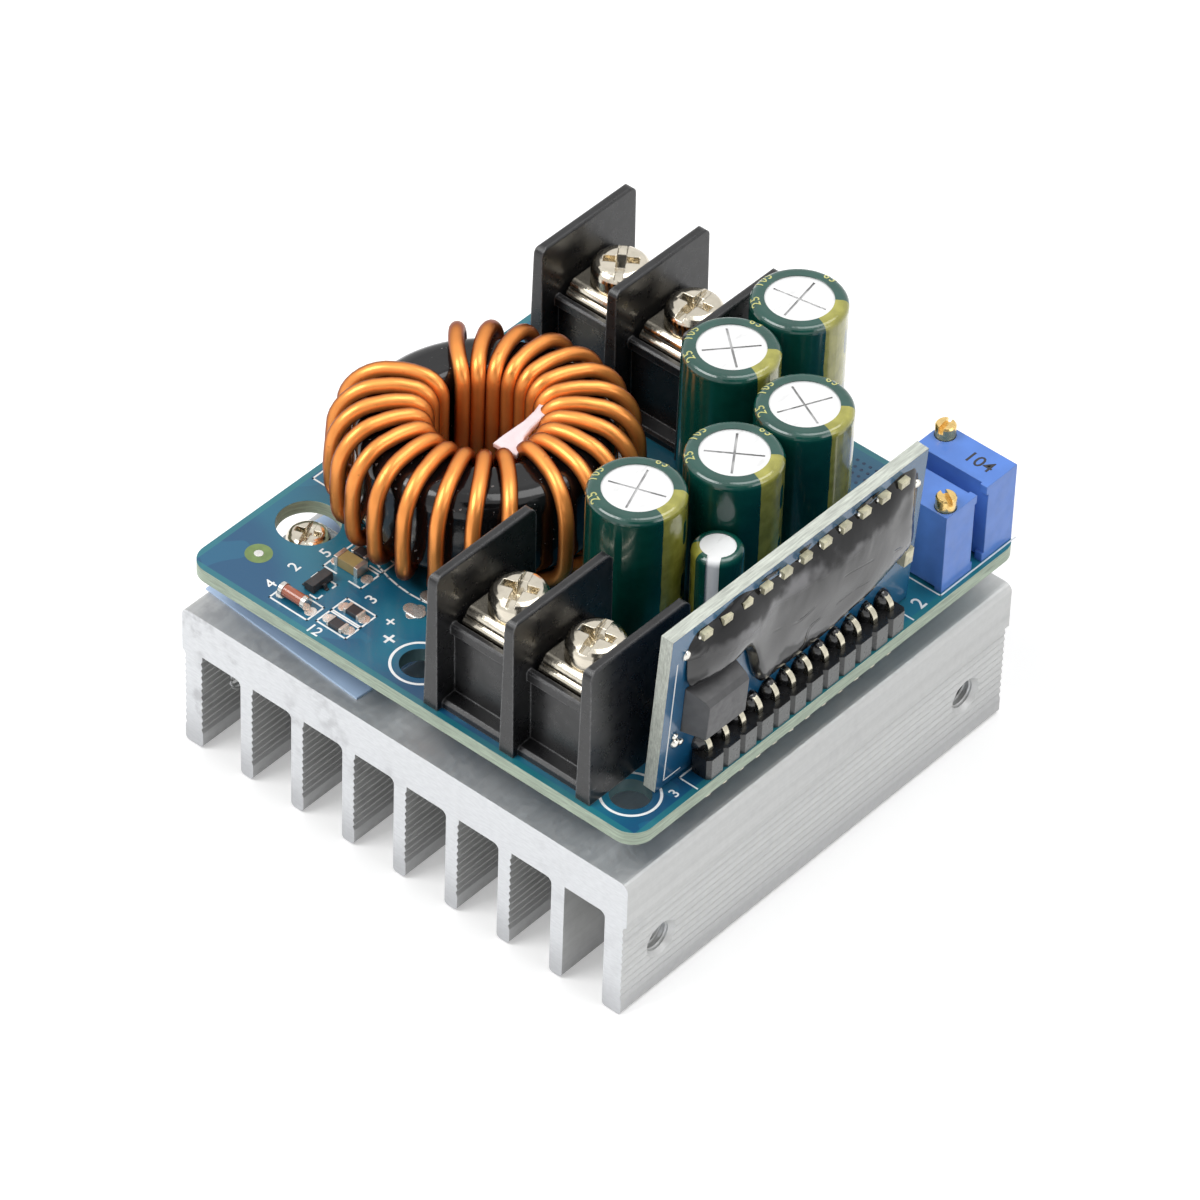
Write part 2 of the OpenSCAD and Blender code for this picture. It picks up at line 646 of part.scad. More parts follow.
module inductor_winding() {
    color("#b8692a") swept_tube(wire_path, wire_d / 2, ring_sides);
}
// A strand of pale adhesive down the inside of the eye
module inductor_adhesive() {
    r = leg_in - wire_d / 2 - 0.25;
    color("#e6cfd4") translate([inductor_at.x, inductor_at.y, core_z + 1])
        rotate([0, 0, -26]) rotate_extrude(angle = 40)
            polygon([[r - 0.5, 0], [r - 0.05, 0], [r - 0.05, core_h - 2], [r - 0.25, core_h - 1.6],
                     [r - 0.5, core_h - 2.2]]);
}

// ---------------------------------------------------------------- capacitors

// Can with a seaming groove near its foot and scored vent lines on top
module capacitor_can(p, d, h, turn) {
    r = d / 2 - sleeve_t - 0.03;
    z0 = cap_standoff;
    color("#e4e4e2") translate([p.x, p.y, board_z]) difference() {
        rotate_extrude()
            polygon(concat([[0, z0 + 1.2], [r - 1, z0 + 1.2], [r - 1, z0], [r - 0.2, z0], [r, z0 + 0.2],
                            [r, z0 + 1], [r - 0.45, z0 + 1.5], [r - 0.45, z0 + 2.1], [r, z0 + 2.6]],
                           arc([r - 0.7, h - sleeve_t - 0.7], 0.7, 0, 90, 6), [[0, h - sleeve_t]]));
        if (d > 7) for (a = [0, 90]) rotate([0, 0, turn + a])
            translate([-0.62 * r, -0.12, h - sleeve_t - vent_depth]) cube([1.24 * r, 0.24, 1]);
    }
}
// Shrunk sleeve that wraps over the can's shoulder; slit takes a strip out of it
module capacitor_sleeve(p, d, h, open, slit = 0) {
    r = d / 2;
    t = sleeve_t;
    c = cap_top_r;
    color("#0b5a48") translate([p.x, p.y, board_z]) difference() {
        rotate_extrude()
            polygon(concat([[r - t, cap_standoff + 0.1], [r, cap_standoff + 0.1], [r, cap_standoff + 1.1],
                            [r - 0.35, cap_standoff + 1.6], [r - 0.35, cap_standoff + 2], [r, cap_standoff + 2.5]],
                           arc([r - c, h - c], c, 0, 90, 6), [[open, h], [open, h - t + 0.03]],
                           arc([r - c, h - c + 0.03], c - t, 90, 0, 6),
                           [[r - t, cap_standoff + 2.5], [r - t - 0.35, cap_standoff + 2],
                            [r - t - 0.35, cap_standoff + 1.6], [r - t, cap_standoff + 1.1]]));
        if (slit > 0) rotate([0, 0, -62]) translate([0, -slit / 2, 0]) cube([d, slit, h + 1]);
    }
}
module capacitor_seals() {
    color("#2a2826") {
        for (p = caps_at) translate([p.x, p.y, board_z + cap_standoff]) seal(cap_d, cap_lead_pitch);
        translate([small_cap_at.x, small_cap_at.y, board_z + cap_standoff])
            seal(small_cap_d, small_lead_pitch);
    }
}
module seal(d, pitch) {
    difference() {
        cylinder(d = d - 2 * sleeve_t - 2.2, h = 1.1);
        for (q = cap_leads([0, 0], pitch, 60)) translate([q.x, q.y, -1])
            cylinder(d = cap_lead_d + 0.04, h = 4, $fn = 24);
    }
}
module capacitor_leads() {
    color("#cfcfca") for (q = cap_lead_at) translate([q.x, q.y, board_z0 - pin_below])
        cylinder(d = cap_lead_d, h = board_t + pin_below + cap_standoff + 1.1, $fn = 24);
}

// ---------------------------------------------------------------- controller board

// Local frame of the leaning board: x = 0 is its outer face, z = 0 its lower edge
module on_controller() {
    translate([ctrl_x, 0, ctrl_z]) rotate([0, ctrl_lean, 0]) children();
}
module controller_board() {
    color("#15749e") difference() {
        on_controller() translate([-ctrl_t, ctrl_y, 0]) cube([ctrl_t, ctrl_l, ctrl_h]);
        for (q = header_at) translate([ctrl_x - 4, q.y, pin_z]) rotate([0, 90, 0])
            cylinder(d = 1.15, h = 8, $fn = 24);
    }
}
module header_block() {
    s = HEADER_PITCH / 2;
    c = 0.4;
    color("#1c1c1e") translate([header_x, 0, board_z]) linear_extrude(HEADER_PITCH) difference() {
        for (q = header_at) translate([0, q.y])
            polygon([[-s, c - s], [c - s, -s], [s - c, -s], [s, c - s],
                     [s, s - c], [s - c, s], [c - s, s], [-s, s - c]]);
        for (q = header_at) translate([0, q.y]) square(pin_w + 0.06, center = true);
    }
}
module header_pin() {
    foot = board_z0 - pin_below;
    straight = pin_z - bend_r;
    translate([-pin_w / 2, -pin_w / 2, foot]) cube([pin_w, pin_w, straight - foot]);
    translate([-bend_r, pin_w / 2, straight]) rotate([90, 0, 0]) rotate_extrude(angle = 90)
        translate([bend_r - pin_w / 2, 0]) square(pin_w);
    translate([-bend_r - ctrl_t - 0.9, -pin_w / 2, pin_z - pin_w / 2])
        cube([ctrl_t + 0.9, pin_w, pin_w]);
}
module header_pins() {
    color("#d9d2b4") for (q = header_at) translate([q.x, q.y, 0]) header_pin();
}

// Lower edge of the epoxy, which climbs over the power package at the front
function potting_floor(y) =
    let (over = package_at.x + package_w + 0.6, t = (y - over) / 5)
    y < over ? package_at.y + package_h + 0.9
    : max(potting_low, package_at.y + package_h + 0.9 - 9 * smooth(min(1, t)))
      + max(0, (y - over - 12) * 0.24);
function potting_ceiling(y) = potting_top + 0.25 * sin(y * 70);
// Thickness across the blob: v runs from its lower edge, -1, to its upper edge, 1
function potting_depth(y, v) =
    let (ends = min(1, (y - potting_y0) / 1.5, (potting_y1 - y) / 1.5))
    0.25 + potting_t * sqrt(max(0, 1 - pow(v, 6))) * sqrt(max(0, ends))
        * (0.8 + 0.2 * sin(y * 17 + v * 40));
module controller_potting() {
    m = potting_cols;
    n = potting_rows;
    function y_at(i) = potting_y0 + (potting_y1 - potting_y0) * i / m;
    function z_at(i, v) = let (a = potting_floor(y_at(i)), b = potting_ceiling(y_at(i)))
        a + (b - a) * (v + 1) / 2;
    outer = [for (i = [0:m], j = [0:n]) let (v = 2 * j / n - 1)
        [potting_depth(y_at(i), v), y_at(i), z_at(i, v)]];
    inner = [for (i = [0:m], j = [0:n]) let (v = 2 * j / n - 1) [0.02, y_at(i), z_at(i, v)]];
    w = n + 1;
    k = (m + 1) * w;
    faces = concat(
        [for (i = [0:m - 1], j = [0:n - 1]) [i * w + j, i * w + j + 1, (i + 1) * w + j + 1, (i + 1) * w + j]],
        [for (i = [0:m - 1], j = [0:n - 1])
            [k + i * w + j, k + (i + 1) * w + j, k + (i + 1) * w + j + 1, k + i * w + j + 1]],
        [for (i = [0:m - 1]) [i * w, (i + 1) * w, k + (i + 1) * w, k + i * w]],
        [for (i = [0:m - 1]) [i * w + n, k + i * w + n, k + (i + 1) * w + n, (i + 1) * w + n]],
        [for (j = [0:n - 1]) [j, k + j, k + j + 1, j + 1]],
        [for (j = [0:n - 1]) [m * w + j, m * w + j + 1, k + m * w + j + 1, k + m * w + j]]);
    color("#2b2a2d") on_controller() polyhedron(concat(outer, inner), faces, convexity = 6);
}
module power_package() {
    w = package_w;
    h = package_h;
    b = package_bevel;
    t = package_t;
    color("#2a2a2e") on_controller() translate([0.02, package_at.x, package_at.y]) intersection() {
        linear_extrude(h) polygon([[0, 0], [t, b], [t, w - 0.3], [0, w]]);
        translate([0, w + 1, 0]) rotate([90, 0, 0]) linear_extrude(w + 2)
            polygon([[0, 0], [t, 0.2], [t, h - 1.3], [t - 0.5, h - 0.8], [0, h]]);
    }
}
// Cream chip ends along the top of the blob, and one part near the far edge
module controller_chips() {
    color("#cfc8a4") on_controller() {
        for (i = [0:chip_rows - 1])
            translate([0.02, potting_y0 + 1.6 + i * HEADER_PITCH * 1.18, potting_top + 0.4])
                cube([0.7, 1.3, 0.8]);
        translate([0.02, potting_y1 - 1.6, potting_low + 1.2]) cube([0.9, 1.3, 2]);
    }
}

// ---------------------------------------------------------------- trimmers

// side is 1 when the screw is at the outer front corner, -1 when at the inner back corner
function trim_screw_at(y, side) =
    [trim_x + side * (trim_l / 2 - trim_screw_in), y - side * (trim_w / 2 - trim_screw_in - 0.1)];
// One long side carries the lid, whose corner lugs stand out at the top and at the foot
module trimmer(y, side) {
    s = trim_screw_at(y, side);
    color("#3f66c8") difference() {
        union() {
            translate([trim_x - trim_l / 2, y - trim_w / 2 + (side < 0 ? trim_lug : 0), board_z + trim_foot])
                cube([trim_l, trim_w - trim_lug, trim_h - trim_foot]);
            for (x = [-1, 1], z = [0, trim_h - trim_lug_h])
                translate([trim_x + x * (trim_l / 2 - 0.45) - 0.45, y - trim_w / 2, board_z + z])
                    cube([0.9, trim_w, trim_lug_h]);
        }
        translate([s.x, s.y, board_z + trim_h - trim_screw_depth])
            cylinder(d = trim_screw_d + 2 * FIT, h = trim_screw_depth + 1);
        for (q = trimmer_pin_at(y)) translate([q.x, q.y, board_z - 1])
            cylinder(d = trim_pin_d + 0.04, h = 2.5, $fn = 24);
    }
}
module trimmer_screw(y, side, turn) {
    s = trim_screw_at(y, side);
    h = trim_screw_depth - 0.2 + trim_screw_up;
    color("#c9a24a") translate([s.x, s.y, board_z + trim_h + trim_screw_up - h]) difference() {
        union() {
            cylinder(d = trim_screw_d, h = h - 0.2);
            translate([0, 0, h - 0.2]) cylinder(d1 = trim_screw_d, d2 = trim_screw_d - 0.3, h = 0.2);
        }
        rotate([0, 0, turn]) translate([-2, -0.28, h - 0.7]) cube([4, 0.56, 2]);
    }
}
module trimmer_pins() {
    color("#cfcfca") for (q = trim_pin_at) translate([q.x, q.y, board_z0 - pin_below])
        cylinder(d = trim_pin_d, h = board_t + pin_below + 1.4, $fn = 24);
}

// ---------------------------------------------------------------- small parts

module indicator_lamp() {
    r = lamp_d / 2;
    color("#e8ece8") translate([lamp_at.x, lamp_at.y, board_z]) difference() {
        rotate_extrude() polygon(concat([[0, 0], [r + 0.35, 0], [r + 0.35, 0.8], [r, 0.8]],
                                        arc([0, lamp_h - r], r, 0, 90, 8)));
        for (q = cap_leads([0, 0], 2.54, 90)) translate([q.x, q.y, -1])
            cylinder(d = 0.54, h = 2.6, $fn = 24);
    }
}
module lamp_leads() {
    color("#cfcfca") for (q = lamp_lead_at) translate([q.x, q.y, board_z0 - pin_below])
        cylinder(d = 0.5, h = board_t + pin_below + 1.5, $fn = 24);
}
// Chip with two end caps a little larger than its body; its length is along X
module chip(p, l, w, h, cap) {
    translate([p.x - l / 2, p.y - w / 2, board_z + 0.04]) {
        translate([cap, 0.04, 0]) cube([l - 2 * cap, w - 0.08, h - 0.04]);
        for (x = [0, l - cap]) translate([x, 0, -0.04]) cube([cap, w, h + 0.04]);
    }
}
module chip_capacitor() color("#9c8450") chip(chip_cap_at, 3.2, 1.6, 1.2, 0.5);
module chip_resistors() color("#2c2c30") for (p = chip_res_at) chip(p, 2, 1.25, 0.5, 0.35);
module small_transistor() {
    color("#1d1d20") translate([sot_at.x, sot_at.y, board_z]) {
        translate([0, 1.45, 0.1]) rotate([90, 0, 0]) linear_extrude(2.9)
            polygon([[-0.65, 0.45], [-0.6, 0], [0.6, 0], [0.65, 0.45], [0.55, 0.95], [-0.55, 0.95]]);
        for (q = [[-1, -0.95], [-1, 0.95], [1, 0]]) gull_lead(q);
    }
}
module gull_lead(q) {
    translate([0, q.y + 0.2, 0]) rotate([90, 0, 0]) linear_extrude(0.4)
        polygon([for (v = [[0.62, 0.6], [0.9, 0.6], [1.05, 0.12], [1.25, 0.12], [1.25, 0], [0.95, 0],
                           [0.8, 0.45], [0.62, 0.45]]) [v.x * q.x, v.y]]);
}
module glass_diode() {
    l = 3.5;
    r = 0.75;
    color("#a8432a") translate([melf_at.x - l / 2, melf_at.y, board_z + r]) rotate([0, 90, 0])
        rotate_extrude() polygon([[0, 0], [r, 0], [r, 0.5], [r - 0.1, 0.5], [r - 0.1, l - 0.5],
                                  [r, l - 0.5], [r, l], [0, l]]);
}

heatsink();
insulator_front();
insulator_back();
device_case(device_at[0]);  // transistor_case
device_frame(device_at[0]);  // transistor_frame
device_case(device_at[1]);  // diode_case
device_frame(device_at[1]);  // diode_frame
insulating_bushes();
device_screws();
main_board();
solder_joints();
board_pads();
terminal_block(input_at, 0);  // input_block
terminal_block(output_at, 180);  // output_block
contacts(input_at, 0);  // input_contacts
contacts(output_at, 180);  // output_contacts
saddle(input_at, 1);  // clamp_in_minus
saddle(input_at, -1);  // clamp_in_plus
saddle(output_at, -1);  // clamp_out_plus
saddle(output_at, 1);  // clamp_out_minus
clamp_screw(input_at, 1, 12);  // screw_in_minus
clamp_screw(input_at, -1, 20);  // screw_in_plus
clamp_screw(output_at, -1, 35);  // screw_out_plus
clamp_screw(output_at, 1, 5);  // screw_out_minus
inductor_core();
inductor_winding();
inductor_adhesive();
capacitor_can(caps_at[0], cap_d, cap_h, 20);  // capacitor_can_1
capacitor_can(caps_at[1], cap_d, cap_h, 35);  // capacitor_can_2
capacitor_can(caps_at[2], cap_d, cap_h, 65);  // capacitor_can_3
capacitor_can(caps_at[3], cap_d, cap_h, 50);  // capacitor_can_4
capacitor_can(caps_at[4], cap_d, cap_h, 10);  // capacitor_can_5
capacitor_can(small_cap_at, small_cap_d, small_cap_h, 0);  // capacitor_can_small
capacitor_sleeve(caps_at[0], cap_d, cap_h, sleeve_open);  // capacitor_sleeve_1
capacitor_sleeve(caps_at[1], cap_d, cap_h, sleeve_open);  // capacitor_sleeve_2
capacitor_sleeve(caps_at[2], cap_d, cap_h, sleeve_open);  // capacitor_sleeve_3
capacitor_sleeve(caps_at[3], cap_d, cap_h, sleeve_open);  // capacitor_sleeve_4
capacitor_sleeve(caps_at[4], cap_d, cap_h, sleeve_open);  // capacitor_sleeve_5
capacitor_sleeve(small_cap_at, small_cap_d, small_cap_h, small_sleeve_open, 1.4);  // capacitor_sleeve_small
capacitor_seals();
capacitor_leads();
controller_board();
header_block();
header_pins();
controller_potting();
power_package();
controller_chips();
trimmer(trim_near_y, 1);  // trimmer_near
trimmer(trim_far_y, -1);  // trimmer_far
trimmer_screw(trim_near_y, 1, 150);  // trimmer_screw_near
trimmer_screw(trim_far_y, -1, 100);  // trimmer_screw_far
trimmer_pins();
indicator_lamp();
lamp_leads();
chip_capacitor();
chip_resistors();
small_transistor();
glass_diode();
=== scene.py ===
"""Looks of a step-down converter module on a finned heatsink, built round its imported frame."""
from __future__ import annotations

import logging
import math
from collections.abc import Sequence
from dataclasses import dataclass
from enum import Enum

import bpy
from mathutils import Matrix, Vector


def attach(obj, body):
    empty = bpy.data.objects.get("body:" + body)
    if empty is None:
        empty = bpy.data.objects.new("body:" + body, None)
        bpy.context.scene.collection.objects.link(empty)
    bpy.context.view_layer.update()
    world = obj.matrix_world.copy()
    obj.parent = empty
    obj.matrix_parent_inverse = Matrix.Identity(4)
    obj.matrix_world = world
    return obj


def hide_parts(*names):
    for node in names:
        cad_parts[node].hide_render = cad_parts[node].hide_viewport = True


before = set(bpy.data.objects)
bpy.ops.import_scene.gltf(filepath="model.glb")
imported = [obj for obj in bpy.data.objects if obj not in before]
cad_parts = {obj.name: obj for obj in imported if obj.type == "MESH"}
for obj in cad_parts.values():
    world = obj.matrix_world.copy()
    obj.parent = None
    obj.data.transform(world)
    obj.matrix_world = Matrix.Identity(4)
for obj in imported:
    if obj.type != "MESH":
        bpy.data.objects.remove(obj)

RGB = tuple[float, float, float]
XYZ = tuple[float, float, float]
XY = tuple[float, float]
Legs = tuple[float, float, float, float]
MM = 0.001
BODY = "module"
CLOUD_LOW, CLOUD_HIGH = 0.3, 0.7
RIM_STARTS, RIM_FULL = 0.995, 0.9
LOG = logging.getLogger("converter")


def metres(*values: float) -> Vector:
    """A vector in metres from millimetres."""
    return Vector([v * MM for v in values])


def passed(distance: float, over: float) -> float:
    """How far a blend has got.

    Args:
        distance: how far past the blend's start the place is.
        over: length of the blend.

    Returns:
        0 before the start and 1 after the end.
    """
    return min(1.0, max(0.0, distance / over))


class Face(Enum):
    """The axis that a surface faces along."""

    X = 0
    Y = 1
    Z = 2


# ------------------------------------------------------------------ materials

class Look:
    """A procedural material while its nodes are being laid."""

    def __init__(self, name: str) -> None:
        """Starts an empty material.

        Args:
            name: the material's name.
        """
        self.material = bpy.data.materials.new(name)
        self.material.use_nodes = True
        self.tree = self.material.node_tree
        self.shader = self.tree.nodes["Principled BSDF"]
        self.place = self.node("ShaderNodeTexCoord").outputs["Object"]

    def node(self, kind: str, **settings: object) -> bpy.types.Node:
        """Adds a node.

        Args:
            kind: the node's type.
            settings: its properties.

        Returns:
            The new node.
        """
        made = self.tree.nodes.new(kind)
        for key, value in settings.items():
            setattr(made, key, value)
        return made

    def feed(self, socket: bpy.types.NodeSocket, value: object) -> None:
        """Links a socket to an input, or writes a number or colour on it.

        Args:
            socket: the input.
            value: a socket, a number or a colour.
        """
        if isinstance(value, bpy.types.NodeSocket):
            self.tree.links.new(value, socket)
        elif isinstance(value, tuple) and len(value) == 3 and socket.type == "RGBA":
            socket.default_value = (*value, 1.0)
        else:
            socket.default_value = value

    def math(self, operation: str, a: object, b: object = 0.0) -> bpy.types.NodeSocket:
        """One step of arithmetic.

        Args:
            operation: the Math node's operation.
            a: first input.
            b: second input.

        Returns:
            The result.
        """
        made = self.node("ShaderNodeMath", operation=operation)
        self.feed(made.inputs[0], a)
        self.feed(made.inputs[1], b)
        return made.outputs[0]

    def away(self, value: bpy.types.NodeSocket, middle: float) -> bpy.types.NodeSocket:
        """How far a value lies from a middle, either way.

        Args:
            value: what is read.
            middle: the middle.

        Returns:
            The distance.
        """
        return self.math("ABSOLUTE", self.math("SUBTRACT", value, middle))

    def axes(self, source: bpy.types.NodeSocket | None = None) -> list[bpy.types.NodeSocket]:
        """The three parts of a vector, of the object's own coordinates if none is given."""
        made = self.node("ShaderNodeSeparateXYZ")
        self.feed(made.inputs[0], source or self.place)
        return list(made.outputs)

    def facing(self, face: Face) -> bpy.types.NodeSocket:
        """How squarely a surface faces along an axis, from 0 to 1, either way."""
        normal = self.node("ShaderNodeNewGeometry").outputs["Normal"]
        return self.math("ABSOLUTE", self.axes(normal)[face.value])

    def moved(self, scale: XYZ = (1, 1, 1), shift: XYZ = (0, 0, 0),
              turn: XYZ = (0, 0, 0)) -> bpy.types.NodeSocket:
        """The object's coordinates stretched, turned and moved.

        Args:
            scale: factor along each axis.
            shift: what is added afterwards.
            turn: angles in radians.

        Returns:
            The new coordinates.
        """
        made = self.node("ShaderNodeMapping")
        self.feed(made.inputs["Vector"], self.place)
        made.inputs["Scale"].default_value = scale
        made.inputs["Rotation"].default_value = turn
        made.inputs["Location"].default_value = shift
        return made.outputs[0]

    def noise(self, scale: float, detail: float = 3, where: bpy.types.NodeSocket | None = None,
              rough: float = 0.5) -> bpy.types.NodeSocket:
        """Cloudy noise.

        Args:
            scale: features per metre.
            detail: octaves.
            where: coordinates, the object's own if none are given.
            rough: weight of the fine octaves.

        Returns:
            A value round 0.5.
        """
        made = self.node("ShaderNodeTexNoise")
        self.feed(made.inputs["Vector"], where or self.place)
        made.inputs["Scale"].default_value = scale
        made.inputs["Detail"].default_value = detail
        made.inputs["Roughness"].default_value = rough
        return made.outputs["Fac"]

    def step(self, value: bpy.types.NodeSocket, low: float, high: float,
             a: float = 0.0, b: float = 1.0) -> bpy.types.NodeSocket:
        """A smooth step.

        Args:
            value: what is read.
            low: where the step starts.
            high: where it ends.
            a: result at the start.
            b: result at the end.

        Returns:
            The stepped value.
        """
        made = self.node("ShaderNodeMapRange", interpolation_type="SMOOTHSTEP")
        self.feed(made.inputs["Value"], value)
        for name, number in (("From Min", low), ("From Max", high), ("To Min", a), ("To Max", b)):
            made.inputs[name].default_value = number
        return made.outputs[0]

    def mix(self, share: object, a: object, b: object) -> bpy.types.NodeSocket:
        """Two colours mixed.

        Args:
            share: how much of the second one.
            a: first colour.
            b: second colour.

        Returns:
            The mixed colour.
        """
        made = self.node("ShaderNodeMix", data_type="RGBA")
        self.feed(made.inputs[0], share)
        self.feed(made.inputs[6], a)
        self.feed(made.inputs[7], b)
        return made.outputs[2]

    def rim(self, radius: float) -> bpy.types.NodeSocket:
        """1 along sharp edges, found by how far a softened normal strays from the true one.

        Args:
            radius: width of the edge in millimetres.

        Returns:
            The mask.
        """
        soft = self.node("ShaderNodeBevel", samples=6)
        soft.inputs["Radius"].default_value = radius * MM
        like = self.node("ShaderNodeVectorMath", operation="DOT_PRODUCT")
        self.feed(like.inputs[0], soft.outputs[0])
        self.feed(like.inputs[1], self.node("ShaderNodeNewGeometry").outputs["Normal"])
        return self.step(like.outputs["Value"], RIM_STARTS, RIM_FULL)

    def relief(self, height: bpy.types.NodeSocket, strength: float, depth: float, edge: float) -> None:
        """Gives the shader a bumped normal with softened edges.

        Args:
            height: the bump's height.
            strength: its strength.
            depth: its distance in metres.
            edge: radius of the softened edges.
        """
        bump = self.node("ShaderNodeBump")
        bump.inputs["Strength"].default_value = strength
        bump.inputs["Distance"].default_value = depth
        self.feed(bump.inputs["Height"], height)
        if edge > 0:
            soft = self.node("ShaderNodeBevel", samples=4)
            soft.inputs["Radius"].default_value = edge
            self.feed(bump.inputs["Normal"], soft.outputs[0])
        self.feed(self.shader.inputs["Normal"], bump.outputs[0])


@dataclass(frozen=True)
class Finish:
    """A plain surface whose colour, gloss and relief wander a little.

    Attributes:
        name: the material's name.
        colour: its middle colour.
        roughness: its middle roughness.
        metallic: 1 for bare metal.
        coat: weight of the clear layer on top.
        wander: how much the colour wanders.
        grain: size of that, in features per metre.
        bump: depth of the relief in millimetres.
        edge: radius of softened edges in millimetres.
    """

    name: str
    colour: RGB
    roughness: float = 0.4
    metallic: float = 0.0
    coat: float = 0.0
    wander: float = 0.12
    grain: float = 900.0
    bump: float = 0.01
    edge: float = 0.12

    def shade(self, amount: float) -> RGB:
        """The middle colour made darker or lighter by a share."""
        return tuple(min(1.0, c * (1 + amount)) for c in self.colour)

    def between(self, look: Look, factor: bpy.types.NodeSocket) -> bpy.types.NodeSocket:
        """From the darker to the lighter end of the colour.

        Args:
            look: the material being made.
            factor: 0 for the darker end, 1 for the lighter one.

        Returns:
            The colour.
        """
        return look.mix(factor, self.shade(-self.wander), self.shade(self.wander))

    def clouded(self, look: Look, scale: float, detail: float = 3) -> bpy.types.NodeSocket:
        """The middle colour wandering in clouds.

        Args:
            look: the material being made.
            scale: clouds per metre.
            detail: octaves.

        Returns:
            The colour.
        """
        return self.between(look, look.step(look.noise(scale, detail), CLOUD_LOW, CLOUD_HIGH))

    def tint(self, look: Look) -> bpy.types.NodeSocket:
        """The colour over the surface."""
        return self.clouded(look, self.grain)

    def gloss(self, look: Look) -> bpy.types.NodeSocket:
        """The roughness over the surface."""
        return look.step(look.noise(self.grain * 1.7, 5), CLOUD_LOW, CLOUD_HIGH,
                         self.roughness * 0.85, self.roughness * 1.15)

    def height(self, look: Look) -> bpy.types.NodeSocket:
        """The relief over the surface."""
        return look.noise(self.grain * 4, 4)

    def extras(self, look: Look) -> None:
        """Adds what only some finishes have."""

    def make(self) -> bpy.types.Material:
        """Builds the material.

        Returns:
            The finished material.
        """
        look = Look(self.name)
        look.feed(look.shader.inputs["Base Color"], self.tint(look))
        look.feed(look.shader.inputs["Roughness"], self.gloss(look))
        look.shader.inputs["Metallic"].default_value = self.metallic
        look.shader.inputs["Coat Weight"].default_value = self.coat
        look.shader.inputs["Coat Roughness"].default_value = 0.08
        look.relief(self.height(look), 0.5, self.bump * MM, self.edge * MM)
        self.extras(look)
        return look.material


@dataclass(frozen=True)
class ExtrudedAluminium(Finish):
    """Natural aluminium drawn along Y, with brighter sawn ends, a few grey smudges and painted shade towards the
    fins' bottoms.

    Attributes:
        cut: colour of the sawn ends.
        smudge_and_painted_shade: colour of the smudges, and of the painted shade towards the fins' bottom edges.
    """

    cut: RGB = (0.74, 0.755, 0.775)
    smudge_and_painted_shade: RGB = (0.36, 0.36, 0.375)

    def tint(self, look: Look) -> bpy.types.NodeSocket:
        """Streaks along the fins, the sawn ends, smudges near one corner, and painted shade low on the fins."""
        streaks = look.noise(1100, 4, look.moved((1, 0.012, 1)), 0.6)
        skin = self.between(look, look.step(streaks, 0.3, 0.72))
        grit = look.noise(4200, 5, look.moved((0.25, 1, 1)))
        end = look.mix(look.step(grit, 0.25, 0.75), tuple(c * 0.90 for c in self.cut), self.cut)
        bare = look.mix(look.step(look.facing(Face.Y), 0.6, 0.9), skin, end)
        patch = look.math("MULTIPLY", look.step(look.noise(150, 2), 0.52, 0.66),
                          look.step(look.noise(650, 5), 0.42, 0.66, 0, 0.55))
        x, _, z = look.axes()
        grime = look.math("MULTIPLY", patch, look.step(x, 0.012, -0.02, 0.25, 1.0))
        # Painted shade: the fins grow darker over their lowest 6 mm, as if in shade.
        painted_low_shade = look.step(z, 0.006, 0.0, 0, 0.45)
        return look.mix(look.math("MAXIMUM", grime, painted_low_shade), bare, self.smudge_and_painted_shade)

    def height(self, look: Look) -> bpy.types.NodeSocket:
        """Drawn lines with finer grit."""
        lines = look.noise(1500, 3, look.moved((1, 0.02, 1)), 0.6)
        return look.math("ADD", lines, look.math("MULTIPLY", look.noise(6000, 2), 0.6))


class BoardFace(Enum):
    """The sides of a board that carry solder mask."""

    FLAT = Face.Z
    UPRIGHT = Face.X


